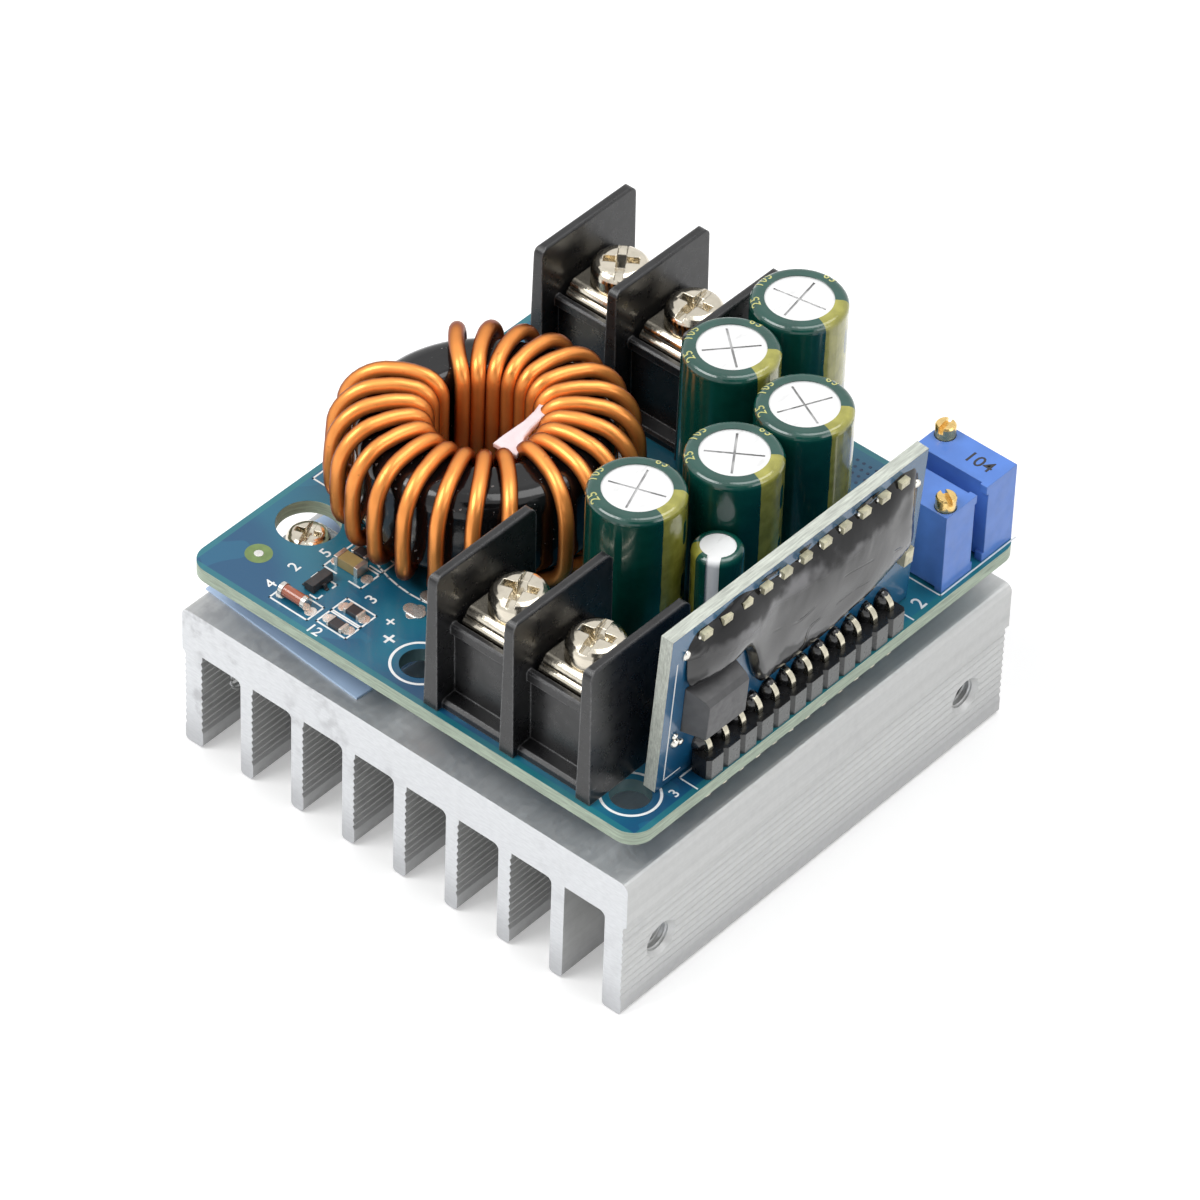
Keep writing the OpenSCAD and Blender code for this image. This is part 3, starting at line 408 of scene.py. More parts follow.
@dataclass(frozen=True)
class MaskedBoard(Finish):
    """Blue solder mask over copper, with bare fibrous edges.

    Attributes:
        side: which faces carry the mask.
        deep: the mask's darker colour over bare laminate.
        laminate: colour of the edges.
        border: colour of the mask where no copper lies under it.
        wall: colour of the walls of the two fixing holes.
        middle: middle of the board in millimetres.
        reach: half size of the copper in millimetres.
        fixing_from: the fixing holes lie right of this x and in front of this y, in millimetres.
        weave: how the fibres in the edges are squeezed along each axis.
    """

    side: BoardFace = BoardFace.FLAT
    deep: RGB = (0.006, 0.075, 0.17)
    laminate: RGB = (0.44, 0.52, 0.36)
    border: RGB = (0.02, 0.20, 0.21)
    wall: RGB = (0.025, 0.075, 0.085)
    middle: XY = (0.4, 0.3)
    reach: XY = (29.3, 29.3)
    fixing_from: XY = (-6.0, -21.5)
    weave: XYZ = (0.2, 0.2, 3.0)

    def beyond(self, look: Look) -> bpy.types.NodeSocket:
        """How far a place lies outside the copper's square, in metres."""
        sides: list[bpy.types.NodeSocket] = []
        for part, middle, reach in zip(look.axes(), self.middle, self.reach):
            sides.append(look.math("SUBTRACT", look.away(part, middle * MM), reach * MM))
        return look.math("MAXIMUM", *sides)

    def hole_walls(self, look: Look, over: bpy.types.NodeSocket) -> bpy.types.NodeSocket:
        """1 on the walls of the fixing holes.

        Args:
            look: the material being made.
            over: how far a place lies outside the copper's square.

        Returns:
            The mask.
        """
        x, y, _ = look.axes()
        right, front = self.fixing_from
        corner = look.math("MULTIPLY", look.step(x, (right - 0.5) * MM, right * MM),
                           look.step(y, (front + 1) * MM, front * MM))
        return look.math("MULTIPLY", corner, look.step(over, -0.4 * MM, -1.2 * MM))

    def tint(self, look: Look) -> bpy.types.NodeSocket:
        """Copper seen through the mask, a bare border, and layered edges."""
        clouds = look.step(look.noise(55, 2), 0.38, 0.62)
        tracks = look.math("MULTIPLY", look.step(look.noise(260, 0), 0.50, 0.515),
                           look.step(look.noise(200, 0, look.moved(shift=(0.3, 0.1, 0))), 0.5, 0.51))
        copper = look.mix(clouds, self.colour, self.deep)
        face = look.mix(look.math("MULTIPLY", tracks, 0.22), copper, self.shade(0.35))
        fibres = look.step(look.noise(1500, 5, look.moved(self.weave), 0.75), CLOUD_LOW, CLOUD_HIGH)
        dark, pale = (tuple(min(1, c * factor) for c in self.laminate) for factor in (0.66, 1.2))
        edge = look.mix(fibres, dark, pale)
        if self.side is BoardFace.FLAT:
            over = self.beyond(look)
            face = look.mix(look.step(over, -0.04 * MM, 0.04 * MM, 0, 0.6), face, self.border)
            edge = look.mix(self.hole_walls(look, over), edge, self.wall)
        return look.mix(look.step(look.facing(self.side.value), 0.6, 0.8), edge, face)

    def gloss(self, look: Look) -> bpy.types.NodeSocket:
        """Glossy faces and dull edges."""
        return look.step(look.facing(self.side.value), 0.6, 0.8, 0.75, self.roughness)


@dataclass(frozen=True)
class Enamel(Finish):
    """Clear amber enamel over copper wire, with painted shade down the sides of each turn.

    Attributes:
        painted_flank_shade: painted shade down the sides.
        mark: colour of small dark marks.
    """

    painted_flank_shade: RGB = (0.15, 0.036, 0.010)
    mark: RGB = (0.28, 0.08, 0.02)

    def tint(self, look: Look) -> bpy.types.NodeSocket:
        """Clouded body colour, small dark marks, and painted brown shade down the flanks."""
        # Painted shade: the facing weight darkens the wire where its surface turns away from the view.
        edge = look.node("ShaderNodeLayerWeight")
        edge.inputs["Blend"].default_value = 0.5
        body = self.clouded(look, 260, 2)
        worn = look.mix(look.step(look.noise(900, 3), 0.68, 0.76, 0, 0.35), body, self.mark)
        return look.mix(look.step(edge.outputs["Facing"], 0.22, 0.80, 0, 0.92), worn, self.painted_flank_shade)

    def extras(self, look: Look) -> None:
        """Brown instead of white where light grazes the wire."""
        look.shader.inputs["Specular Tint"].default_value = (0.55, 0.28, 0.10, 1)


@dataclass(frozen=True)
class Sleeve(Finish):
    """Dark shrink sleeve with one pale yellow band and a minus mark down the band.

    Attributes:
        at: the capacitor's axis in millimetres.
        top: height of its top in millimetres.
        band: angles in degrees where the band starts and ends.
        mark: angle of the minus mark, or None.
        mark_z: how far the marks' middles lie below the top in millimetres.
        mark_half: half width and half height of a mark in millimetres.
        radius: the sleeve's radius in millimetres.
        gold: darker and lighter colour of the band.
    """

    at: XY = (0, 0)
    top: float = 44.8
    band: XY = (-18, 38)
    mark: float | None = 22.0
    mark_z: tuple[float, ...] = (4.2, 11.2)
    mark_half: XY = (0.45, 1.5)
    radius: float = 5.1
    gold: tuple[RGB, RGB] = ((0.27, 0.26, 0.035), (0.40, 0.38, 0.07))

    def tint(self, look: Look) -> bpy.types.NodeSocket:
        """Band and mark laid round the axis."""
        x, y, z = look.axes()
        turn = look.math("ARCTAN2", look.math("SUBTRACT", y, self.at[1] * MM),
                         look.math("SUBTRACT", x, self.at[0] * MM))
        middle = math.radians(sum(self.band) / 2)
        half = math.radians((self.band[1] - self.band[0]) / 2)
        off = look.away(turn, middle)
        wobble = look.math("MULTIPLY", look.math("SUBTRACT", look.noise(500, 2), 0.5), 0.05)
        band = look.step(look.math("ADD", off, wobble), half + 0.012, half - 0.012)
        if self.mark is not None:
            for drop in self.mark_z:
                side = look.math("MULTIPLY", look.math("SUBTRACT", turn, math.radians(self.mark)),
                                 self.radius / self.mark_half[0])
                along = look.math("MULTIPLY", look.math("SUBTRACT", z, (self.top - drop) * MM),
                                  1 / (self.mark_half[1] * MM))
                square = look.math("ADD", look.math("POWER", look.math("ABSOLUTE", side), 4.0),
                                   look.math("POWER", look.math("ABSOLUTE", along), 4.0))
                band = look.math("MULTIPLY", band, look.step(square, 0.8, 1.2))
        gold = look.mix(look.step(look.noise(600, 3), CLOUD_LOW, CLOUD_HIGH), *self.gold)
        return look.mix(band, self.clouded(look, 420), gold)

    def height(self, look: Look) -> bpy.types.NodeSocket:
        """Shrink wrinkles that fade below the rim."""
        rim = look.step(look.axes()[2], (self.top - 2.2) * MM, (self.top - 0.4) * MM)
        folds = look.noise(1300, 3, look.moved((1, 1, 0.25)))
        waves = look.math("MULTIPLY", look.noise(500, 2), 0.4)
        return look.math("ADD", look.math("MULTIPLY", folds, rim), waves)


@dataclass(frozen=True)
class ScoredTop(Finish):
    """Bright can whose scored lines carry painted shade.

    Attributes:
        level: height of its flat top in millimetres.
        scuff: colour of small scuffs.
        painted_groove_shade: painted shade down in the lines.
    """

    level: float = 44.65
    scuff: RGB = (0.62, 0.62, 0.62)
    painted_groove_shade: RGB = (0.22, 0.22, 0.22)

    def tint(self, look: Look) -> bpy.types.NodeSocket:
        """Pale metal, with painted shade on what lies under the flat top."""
        # Painted shade: everything sunk below the flat top, such as the scored lines, is darkened.
        groove_shade_mask = look.step(look.axes()[2], (self.level - 0.03) * MM, (self.level - 0.09) * MM)
        scuffs = look.step(look.noise(1500, 4, look.moved((1, 0.3, 1))), 0.60, 0.72, 0, 0.35)
        face = look.mix(scuffs, self.colour, self.scuff)
        faint = look.step(look.noise(500, 2), 0.35, 0.6, 0.45, 0.9)
        return look.mix(look.math("MULTIPLY", groove_shade_mask, faint), face, self.painted_groove_shade)


@dataclass(frozen=True)
class BlockMoulding(Finish):
    """Black moulding with pitted, paler edges.

    Attributes:
        worn: colour of the edges and the dust.
        edge_width: width of the worn edges in millimetres.
    """

    worn: RGB = (0.16, 0.16, 0.165)
    edge_width: float = 0.28

    def tint(self, look: Look) -> bpy.types.NodeSocket:
        """Black faces, worn edges and specks of dust."""
        chips = look.step(look.noise(1300, 4), 0.3, 0.6, 0.35, 0.9)
        edge = look.math("MULTIPLY", look.rim(self.edge_width), chips)
        dust = look.step(look.noise(5200, 1), 0.76, 0.80, 0, 0.5)
        return look.mix(look.math("MAXIMUM", edge, dust), self.clouded(look, self.grain), self.worn)


@dataclass(frozen=True)
class PottedEpoxy(Finish):
    """Poured epoxy, satin in the middle with painted reflection clouds, and wet black along its upper and lower
    edges.

    Attributes:
        low: height of its lower edge in millimetres.
        high: height of its upper edge in millimetres.
        lobe: where along Y the lower edge climbs over the power package.
        rise: how far it climbs in millimetres.
        painted_fold_shade: painted shade down in the folds.
        wet_black: colour along the edges.
    """

    low: float = 30.9
    high: float = 44.6
    lobe: float = -11.8
    rise: float = 6.2
    painted_fold_shade: RGB = (0.008, 0.008, 0.008)
    wet_black: RGB = (0.006, 0.006, 0.007)

    def wet(self, look: Look) -> bpy.types.NodeSocket:
        """1 along the upper and lower edges."""
        z = look.axes()[2]
        drift = look.math("MULTIPLY", look.math("SUBTRACT", look.noise(210, 3), 0.5), 0.008)
        level = look.math("ADD", z, drift)
        floor = look.step(look.axes()[1], self.lobe * MM, (self.lobe - 1.7) * MM,
                          self.low * MM, (self.low + self.rise) * MM)
        return look.math("MAXIMUM", look.step(level, (self.high - 4.2) * MM, (self.high - 2.3) * MM),
                         look.step(look.math("SUBTRACT", level, floor), 1.8 * MM, 0.7 * MM))

    def tint(self, look: Look) -> bpy.types.NodeSocket:
        """Grey middle clouded with painted reflection, painted shade in the folds, and black edges."""
        # Painted reflection: broad diagonal clouds, lighter and darker, across the grey middle.
        painted_reflection_flow = look.noise(95, 2, look.moved((1, 0.55, 1.3), turn=(0.6, 0, 0)))
        body = self.between(look, look.step(painted_reflection_flow, 0.40, 0.60))
        # Painted shade: the folds are darkened in colour as well as sunk.
        fold_shaded = look.mix(look.math("MULTIPLY", self.crease(look), 0.9), body, self.painted_fold_shade)
        return look.mix(self.wet(look), fold_shaded, self.wet_black)

    def crease(self, look: Look) -> bpy.types.NodeSocket:
        """A few long thin folds."""
        swirl = look.noise(120, 1, look.moved((1, 0.5, 1.2), turn=(0.5, 0, 0)))
        line = look.step(look.away(swirl, 0.5), 0.016, 0.002)
        return look.math("MULTIPLY", line, look.step(look.noise(190, 1), 0.50, 0.58))

    def height(self, look: Look) -> bpy.types.NodeSocket:
        """Smooth pour with its folds sunk."""
        return look.math("SUBTRACT", look.math("MULTIPLY", look.noise(400, 2), 0.35), self.crease(look))

    def gloss(self, look: Look) -> bpy.types.NodeSocket:
        """Satin middle and glossy edges."""
        satin = look.step(look.noise(180, 2), 0.35, 0.65, self.roughness * 0.75, self.roughness * 1.2)
        return look.math("MULTIPLY", satin, look.step(self.wet(look), 0, 1, 1.0, 0.5))

    def extras(self, look: Look) -> None:
        """Less mirror of the pale surroundings along the black edges."""
        look.feed(look.shader.inputs["Coat Weight"], look.step(self.wet(look), 0, 1, self.coat, 0.0))
        look.feed(look.shader.inputs["Specular IOR Level"], look.step(self.wet(look), 0, 1, 0.5, 0.3))


@dataclass(frozen=True)
class HeaderMoulding(Finish):
    """Black moulding with painted light that greys its outer faces.

    Attributes:
        outer: painted light, the grey of the faces that face out along X.
    """

    outer: RGB = (0.115, 0.12, 0.118)

    def tint(self, look: Look) -> bpy.types.NodeSocket:
        """Painted light grey where it faces out along X, black on top."""
        body = self.between(look, look.noise(self.grain))
        # Painted light: faces along X turn grey as if lit, while the top stays black.
        return look.mix(look.step(look.facing(Face.X), 0.6, 0.85), body, self.outer)


@dataclass(frozen=True)
class EndCaps(Finish):
    """A chip body between tinned ends, split along X.

    Attributes:
        at: middle along X in millimetres, one for each chip.
        half: half length of the body in millimetres.
        cap: colour of the ends.
    """

    at: tuple[float, ...] = (0.0,)
    half: float = 1.1
    cap: RGB = (0.62, 0.60, 0.56)

    def ends(self, look: Look) -> bpy.types.NodeSocket:
        """1 on the tinned ends."""
        x = look.axes()[0]
        off: bpy.types.NodeSocket | None = None
        for middle in self.at:
            here = look.away(x, middle * MM)
            off = here if off is None else look.math("MINIMUM", off, here)
        return look.step(off, (self.half - 0.03) * MM, (self.half + 0.03) * MM)

    def tint(self, look: Look) -> bpy.types.NodeSocket:
        """Body colour between silvery ends."""
        body = self.between(look, look.noise(self.grain))
        return look.mix(self.ends(look), body, self.cap)

    def extras(self, look: Look) -> None:
        """Metal only on the ends."""
        look.feed(look.shader.inputs["Metallic"], look.math("MULTIPLY", self.ends(look), 0.9))


@dataclass(frozen=True)
class ClearResin(Finish):
    """Clear moulded resin."""

    def extras(self, look: Look) -> None:
        """Lets light through."""
        look.shader.inputs["Transmission Weight"].default_value = 0.5
        look.shader.inputs["IOR"].default_value = 1.5


@dataclass(frozen=True)
class CoatedCore(Finish):
    """Thick glossy black coating with pale specks.

    Attributes:
        speck: colour of the specks.
    """

    speck: RGB = (0.5, 0.5, 0.5)

    def tint(self, look: Look) -> bpy.types.NodeSocket:
        """Black with specks."""
        specks = look.step(look.noise(2300, 2), 0.70, 0.74, 0, 0.55)
        return look.mix(specks, self.colour, self.speck)

    def extras(self, look: Look) -> None:
        """Less mirror of the pale surroundings."""
        look.shader.inputs["Specular IOR Level"].default_value = 0.3


# ------------------------------------------------------------------ bench work

class Bench:
    """Steps of hand modelling shared by the pieces."""

    @staticmethod
    def clear() -> None:
        """Deselects everything."""
        if bpy.context.mode != "OBJECT":
            bpy.ops.object.mode_set(mode="OBJECT")
        bpy.ops.object.select_all(action="DESELECT")

    @staticmethod
    def pick(*objects: bpy.types.Object) -> bpy.types.Object:
        """Selects objects and makes the first one active.

        Args:
            objects: what to select.

        Returns:
            The active object.
        """
        Bench.clear()
        for one in objects:
            one.select_set(True)
        bpy.context.view_layer.objects.active = objects[0]
        return objects[0]

    @staticmethod
    def settle(piece: bpy.types.Object) -> bpy.types.Object:
        """Puts a piece's place, turn and scale into its mesh."""
        Bench.pick(piece)
        bpy.ops.object.transform_apply(location=True, rotation=True, scale=True)
        return piece

    @staticmethod
    def join(parts: list[bpy.types.Object], name: str) -> bpy.types.Object:
        """Joins settled parts into one piece.

        Args:
            parts: the parts.
            name: the piece's name.

        Returns:
            The joined piece.
        """
        piece = Bench.pick(*parts)
        if len(parts) > 1:
            bpy.ops.object.join()
        piece.name = name
        piece.data.name = name
        return piece

    @staticmethod
    def apply(piece: bpy.types.Object, kind: str, **settings: object) -> None:
        """Adds a modifier and applies it.

        Args:
            piece: what it works on.
            kind: the modifier's type.
            settings: its properties.
        """
        Bench.pick(piece)
        made = piece.modifiers.new(kind.title(), kind)
        for key, value in settings.items():
            setattr(made, key, value)
        bpy.ops.object.modifier_apply(modifier=made.name)

    @staticmethod
    def finish(piece: bpy.types.Object, material: bpy.types.Material, slot: str,
               smooth: float | None, body: str = BODY) -> bpy.types.Object:
        """Dresses a settled piece and lets it ride.

        Args:
            piece: the piece.
            material: its material.
            slot: the record's material slot; not used.
            smooth: angle in degrees under which faces shade smoothly, or None.
            body: the CAD body that carries it.

        Returns:
            The same piece.
        """
        Bench.settle(piece)
        if smooth is not None:
            bpy.ops.object.shade_smooth_by_angle(angle=math.radians(smooth))
        piece.data.materials.clear()
        piece.data.materials.append(material)
        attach(piece, body)
        LOG.info("%s: %d faces on %s", piece.name, len(piece.data.polygons), body)
        return piece

    @staticmethod
    def twin(node: str, name: str) -> bpy.types.Object:
        """A copy of a CAD node's mesh with its triangles joined up again.

        Args:
            node: the CAD node.
            name: the copy's name.

        Returns:
            The copy, riding on nothing yet.
        """
        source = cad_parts[node]
        copy = bpy.data.objects.new(name, source.data.copy())
        bpy.context.scene.collection.objects.link(copy)
        Bench.pick(copy)
        bpy.ops.object.mode_set(mode="EDIT")
        bpy.ops.mesh.select_all(action="SELECT")
        bpy.ops.mesh.remove_doubles(threshold=1e-6)
        bpy.ops.mesh.dissolve_limited(angle_limit=math.radians(0.5))
        bpy.ops.mesh.customdata_custom_splitnormals_clear()
        bpy.ops.object.mode_set(mode="OBJECT")
        copy.data.materials.clear()
        return copy


class Ink:
    """Flat shapes printed on a level plane, drawn in millimetres."""

    RING_STEPS = 96
    FIGURE_SCALE = 1.35

    def __init__(self, height: float, thickness: float = 0.02) -> None:
        """Starts an empty print.

        Args:
            height: height of the plane in millimetres.
            thickness: how far the print stands proud in millimetres.
        """
        self.height = height
        self.thickness = thickness
        self.parts: list[bpy.types.Object] = []

    def keep(self) -> None:
        """Settles the shape just made and keeps it."""
        self.parts.append(Bench.settle(bpy.context.active_object))

    def line(self, a: XY, b: XY, width: float = 0.2) -> None:
        """A straight stroke.

        Args:
            a: one end.
            b: the other end.
            width: its width.
        """
        length = math.dist(a, b) + width
        Bench.clear()
        bpy.ops.mesh.primitive_cube_add(
            size=1, location=metres((a[0] + b[0]) / 2, (a[1] + b[1]) / 2, self.height + self.thickness / 2),
            rotation=(0, 0, math.atan2(b[1] - a[1], b[0] - a[0])),
            scale=metres(length, width, self.thickness))
        self.keep()

    def path(self, points: Sequence[XY], width: float = 0.2) -> None:
        """Strokes through several points."""
        for a, b in zip(points, points[1:]):
            self.line(a, b, width)

    def frame(self, x0: float, y0: float, x1: float, y1: float, width: float = 0.2) -> None:
        """A rectangle's outline between two corners."""
        self.path([(x0, y0), (x1, y0), (x1, y1), (x0, y1), (x0, y0)], width)

    def arc(self, middle: XY, radius: float, start: float, end: float, width: float = 0.2) -> None:
        """A bent stroke.

        Args:
            middle: the arc's centre.
            radius: radius of its middle line.
            start: first angle in degrees.
            end: last angle in degrees.
            width: its width.
        """
        steps = max(6, int(abs(end - start) / 6))
        turns = [math.radians(start + (end - start) * i / steps) for i in range(steps + 1)]
        self.path([(middle[0] + radius * math.cos(turn), middle[1] + radius * math.sin(turn))
                   for turn in turns], width)

    def ring(self, middle: XY, radius: float, width: float) -> None:
        """A full circle.

        Args:
            middle: its centre.
            radius: its middle radius.
            width: width of the line.
        """
        Bench.clear()
        bpy.ops.mesh.primitive_torus_add(
            major_segments=self.RING_STEPS, minor_segments=8,
            major_radius=radius * MM, minor_radius=width / 2 * MM,
            location=metres(*middle, self.height + self.thickness / 2))
        bpy.context.active_object.scale.z = self.thickness / width
        self.keep()

    def disc(self, middle: XY, radius: float, squash: float = 1.0, turn: float = 0.0) -> None:
        """A filled disc or oval.

        Args:
            middle: its centre.
            radius: its half length.
            squash: its half width over its half length.
            turn: angle of its length in degrees.
        """
        Bench.clear()
        bpy.ops.mesh.primitive_cylinder_add(
            vertices=32, radius=radius * MM, depth=self.thickness * MM,
            location=metres(*middle, self.height + self.thickness / 2),
            rotation=(0, 0, math.radians(turn)), scale=(1, squash, 1))
        self.keep()

    def figure(self, text: str, at: XY, size: float, turn: float = 0.0) -> None:
        """A plain number or sign.

        Args:
            text: what is printed.
            at: its middle.
            size: height of the figures.
            turn: angle in degrees.
        """
        Bench.clear()
        bpy.ops.object.text_add(location=metres(*at, self.height), rotation=(0, 0, math.radians(turn)))
        made = bpy.context.active_object
        made.data.body = text
        made.data.align_x = made.data.align_y = "CENTER"
        made.data.size = size * MM * self.FIGURE_SCALE
        made.data.resolution_u = 3
        made.data.extrude = self.thickness * MM
        made.data.offset = 0.02 * MM
        bpy.ops.object.convert(target="MESH")
        self.keep()

    def make(self, name: str, material: bpy.types.Material, slot: str) -> bpy.types.Object:
        """Joins the strokes into one dressed piece.

        Args:
            name: the piece's name.
            material: its material.
            slot: the record's material slot.

        Returns:
            The piece.
        """
        return Bench.finish(Bench.join(self.parts, name), material, slot, None)


# ------------------------------------------------------------------ sub-assemblies

@dataclass
class Studio:
    """Pale floor, soft lamps and the camera.

    Attributes:
        azimuth: the camera's direction in radians.
        elevation: its height angle in radians.
        roll: its roll in radians.
        distance: how far it stands from what it looks at, in millimetres.
        aim: what it looks at, right and up of the axis at 15 mm, in millimetres.
        focal: its focal length over the width of the picture.
        offset: the lens shift across and up.
        sensor: width of its sensor in millimetres.
        aim_z: height of what the lamps and cards face, in millimetres.
        lamps: name, place in metres, side in metres and watts of each lamp.
        cards: name, place in metres and side in metres of each dark card.
        glow: strength of the floor's own light as the camera sees it.
        ambient: strength of the surroundings as a source of light.
    """

    azimuth: float = 0.69268
    elevation: float = 0.73831
    roll: float = 0.036642
    distance: float = 776.02
    aim: XY = (-0.1897, 1.8649)
    focal: float = 7597.2 / 1200
    offset: XY = ((600 - 596.65) / 1200, (599.33 - 600) / 1200)
    sensor: float = 36
    aim_z: float = 20
    lamps: tuple[tuple[str, XYZ, float, float], ...] = (
        ("key", (-0.55, -0.75, 1.15), 0.8, 13), ("top", (0.25, 0.35, 1.3), 0.9, 9),
        ("side", (1.1, 0.15, 0.55), 0.6, 2.2))
    cards: tuple[tuple[str, XYZ, float], ...] = (
        ("card_front", (0.62, -0.75, 0.95), 0.62), ("card_right", (1.25, -0.55, 0.75), 0.5))
    glow: float = 0.32
    ambient: float = 0.40

    def camera(self) -> None:
        """Places the camera."""
        az, el = self.azimuth, self.elevation
        back = Vector((math.sin(az) * math.cos(el), -math.cos(az) * math.cos(el), math.sin(el)))
        right = (-back).cross(Vector((0, 0, 1))).normalized()
        up = right.cross(-back)
        across = math.cos(self.roll) * right + math.sin(self.roll) * up
        above = -math.sin(self.roll) * right + math.cos(self.roll) * up
        target = Vector((0, 0, 15)) + self.aim[0] * right + self.aim[1] * up
        Bench.clear()
        bpy.ops.object.camera_add()
        eye = bpy.context.active_object
        eye.name = "camera"
        turn = Matrix((across, above, back)).transposed().to_4x4()
        eye.matrix_world = Matrix.Translation((target + self.distance * back) * MM) @ turn
        lens = eye.data
        lens.sensor_width = self.sensor
        lens.lens = self.focal * self.sensor
        lens.shift_x, lens.shift_y = self.offset
        lens.clip_end = 20
        bpy.context.scene.camera = eye

    def lamp(self, name: str, place: Vector, size: float, power: float) -> None:
        """A square soft lamp that looks at the module.

        Args:
            name: its name.
            place: where it hangs, in metres.
            size: its side in metres.
            power: its power in watts.
        """
        Bench.clear()
        turn = (metres(0, 0, self.aim_z) - place).to_track_quat("-Z", "Y").to_euler()
        bpy.ops.object.light_add(type="AREA", location=place, rotation=turn)
        made = bpy.context.active_object
        made.name = name
        made.data.shape = "SQUARE"
        made.data.size = size
        made.data.energy = power

    def card(self, name: str, place: Vector, size: float) -> None:
        """A dark card out of every view, for shiny pieces to mirror.

        Args:
            name: its name.
            place: its middle, in metres.
            size: its side in metres.
        """
        Bench.clear()
        turn = (metres(0, 0, self.aim_z) - place).to_track_quat("Z", "Y").to_euler()
        bpy.ops.mesh.primitive_plane_add(size=size, location=place, rotation=turn)
        made = Bench.settle(bpy.context.active_object)
        made.name = name
        made.data.materials.append(Finish(f"{name}_felt", (0.02, 0.02, 0.02), 0.9, edge=0).make())

    def floor(self) -> None:
        """A pale floor that keeps the module's shadow."""
        Bench.clear()
        bpy.ops.mesh.primitive_plane_add(size=12, location=(0, 0, -0.0001))
        made = Bench.settle(bpy.context.active_object)
        made.name = "floor"
        look = Look("floor_paper")
        look.shader.inputs["Roughness"].default_value = 0.9
        look.shader.inputs["Specular IOR Level"].default_value = 0.1
        cloud = look.step(look.noise(40, 2), CLOUD_LOW, CLOUD_HIGH)
        look.feed(look.shader.inputs["Base Color"], look.mix(cloud, (0.80, 0.80, 0.80), (0.82, 0.82, 0.82)))
        path = look.node("ShaderNodeLightPath")
        indirect = look.math("MAXIMUM", path.outputs["Is Glossy Ray"], path.outputs["Is Transmission Ray"])
        seen = look.math("MAXIMUM", path.outputs["Is Camera Ray"], indirect)
        look.shader.inputs["Emission Color"].default_value = (1, 1, 1, 1)
        look.feed(look.shader.inputs["Emission Strength"], look.math("MULTIPLY", seen, self.glow))
        made.data.materials.append(look.material)

    def sky(self) -> None:
        """White surroundings, dimmer as a source of light."""
        world = bpy.data.worlds.new("studio")
        bpy.context.scene.world = world
        world.use_nodes = True
        tree = world.node_tree
        back = tree.nodes["Background"]
        back.inputs["Color"].default_value = (1, 1, 1, 1)
        path = tree.nodes.new("ShaderNodeLightPath")
        either, any_ray = tree.nodes.new("ShaderNodeMath"), tree.nodes.new("ShaderNodeMath")
        either.operation = any_ray.operation = "MAXIMUM"
        level = tree.nodes.new("ShaderNodeMapRange")
        level.inputs["To Min"].default_value = self.ambient
        level.inputs["To Max"].default_value = 1.0
        tree.links.new(path.outputs["Is Camera Ray"], either.inputs[0])
        tree.links.new(path.outputs["Is Glossy Ray"], either.inputs[1])
        tree.links.new(either.outputs[0], any_ray.inputs[0])
        tree.links.new(path.outputs["Is Transmission Ray"], any_ray.inputs[1])
        tree.links.new(any_ray.outputs[0], level.inputs["Value"])
        tree.links.new(level.outputs[0], back.inputs["Strength"])

    def build(self) -> None:
        """Sets up everything that isn't the module."""
        self.camera()
        self.floor()
        self.sky()
        for name, place, size, power in self.lamps:
            self.lamp(name, Vector(place), size, power)
        for name, place, size in self.cards:
            self.card(name, Vector(place), size)
        bpy.context.scene.view_settings.view_transform = "Standard"
        LOG.info("studio ready")


@dataclass
class Cooler:
    """The extruded heatsink, the insulating sheets and the power devices under the board.

    Attributes:
        hole_at: side and y in millimetres of each tapped hole.
        hole_z: their height.
        core_d: diameter inside the thread.
        pitch: the thread's pitch.
        crest: radius of a ridge.
        slant: the ridges' tilt in radians.
        wall: where along X the outer wall starts and ends.
    """

    hole_at: tuple[XY, ...] = ((1, -24), (1, 24), (-1, -24), (-1, 24))
    hole_z: float = 6.3
    core_d: float = 3.3
    pitch: float = 0.7
    crest: float = 0.16
    slant: float = 0.05
    wall: XY = (27.35, 29.0)

    def threads(self, material: bpy.types.Material) -> None:
        """Cuts the look of a thread into each side hole as stacked ridges.

        Args:
            material: the heatsink's material.
        """
        count = int((self.wall[1] - self.wall[0]) / self.pitch) + 1
        parts: list[bpy.types.Object] = []
        for side, y in self.hole_at:
            for i in range(count):
                Bench.clear()
                bpy.ops.mesh.primitive_torus_add(
                    major_segments=40, minor_segments=6,
                    major_radius=self.core_d / 2 * MM, minor_radius=self.crest * MM,
                    location=metres(side * (self.wall[0] + i * self.pitch), y, self.hole_z),
                    rotation=(0, math.pi / 2 + self.slant * side, 0))
                parts.append(Bench.settle(bpy.context.active_object))
        Bench.finish(Bench.join(parts, "side_hole_threads"), material, "heatsink_aluminium", 50)

    def build(self) -> None:
        """Dresses the nodes and adds the threads."""
        self.threads(Wardrobe.dress(
            ExtrudedAluminium("heatsink_metal", (0.56, 0.565, 0.56), 0.5, 0.55, wander=0.05, bump=0.008, edge=0.08),
            "heatsink"))
        Wardrobe.dress(Finish("insulating_sheet", (0.56, 0.72, 0.96), 0.4, coat=0.1, wander=0.05, grain=300),
                       "insulator_front", "insulator_back")
        Wardrobe.dress(Finish("device_moulding", (0.03, 0.03, 0.032), 0.5, wander=0.2),
                       "transistor_case", "diode_case", "small_transistor")
        Wardrobe.dress(Finish("bush_nylon", (0.80, 0.80, 0.78), 0.45, wander=0.04), "insulating_bushes")


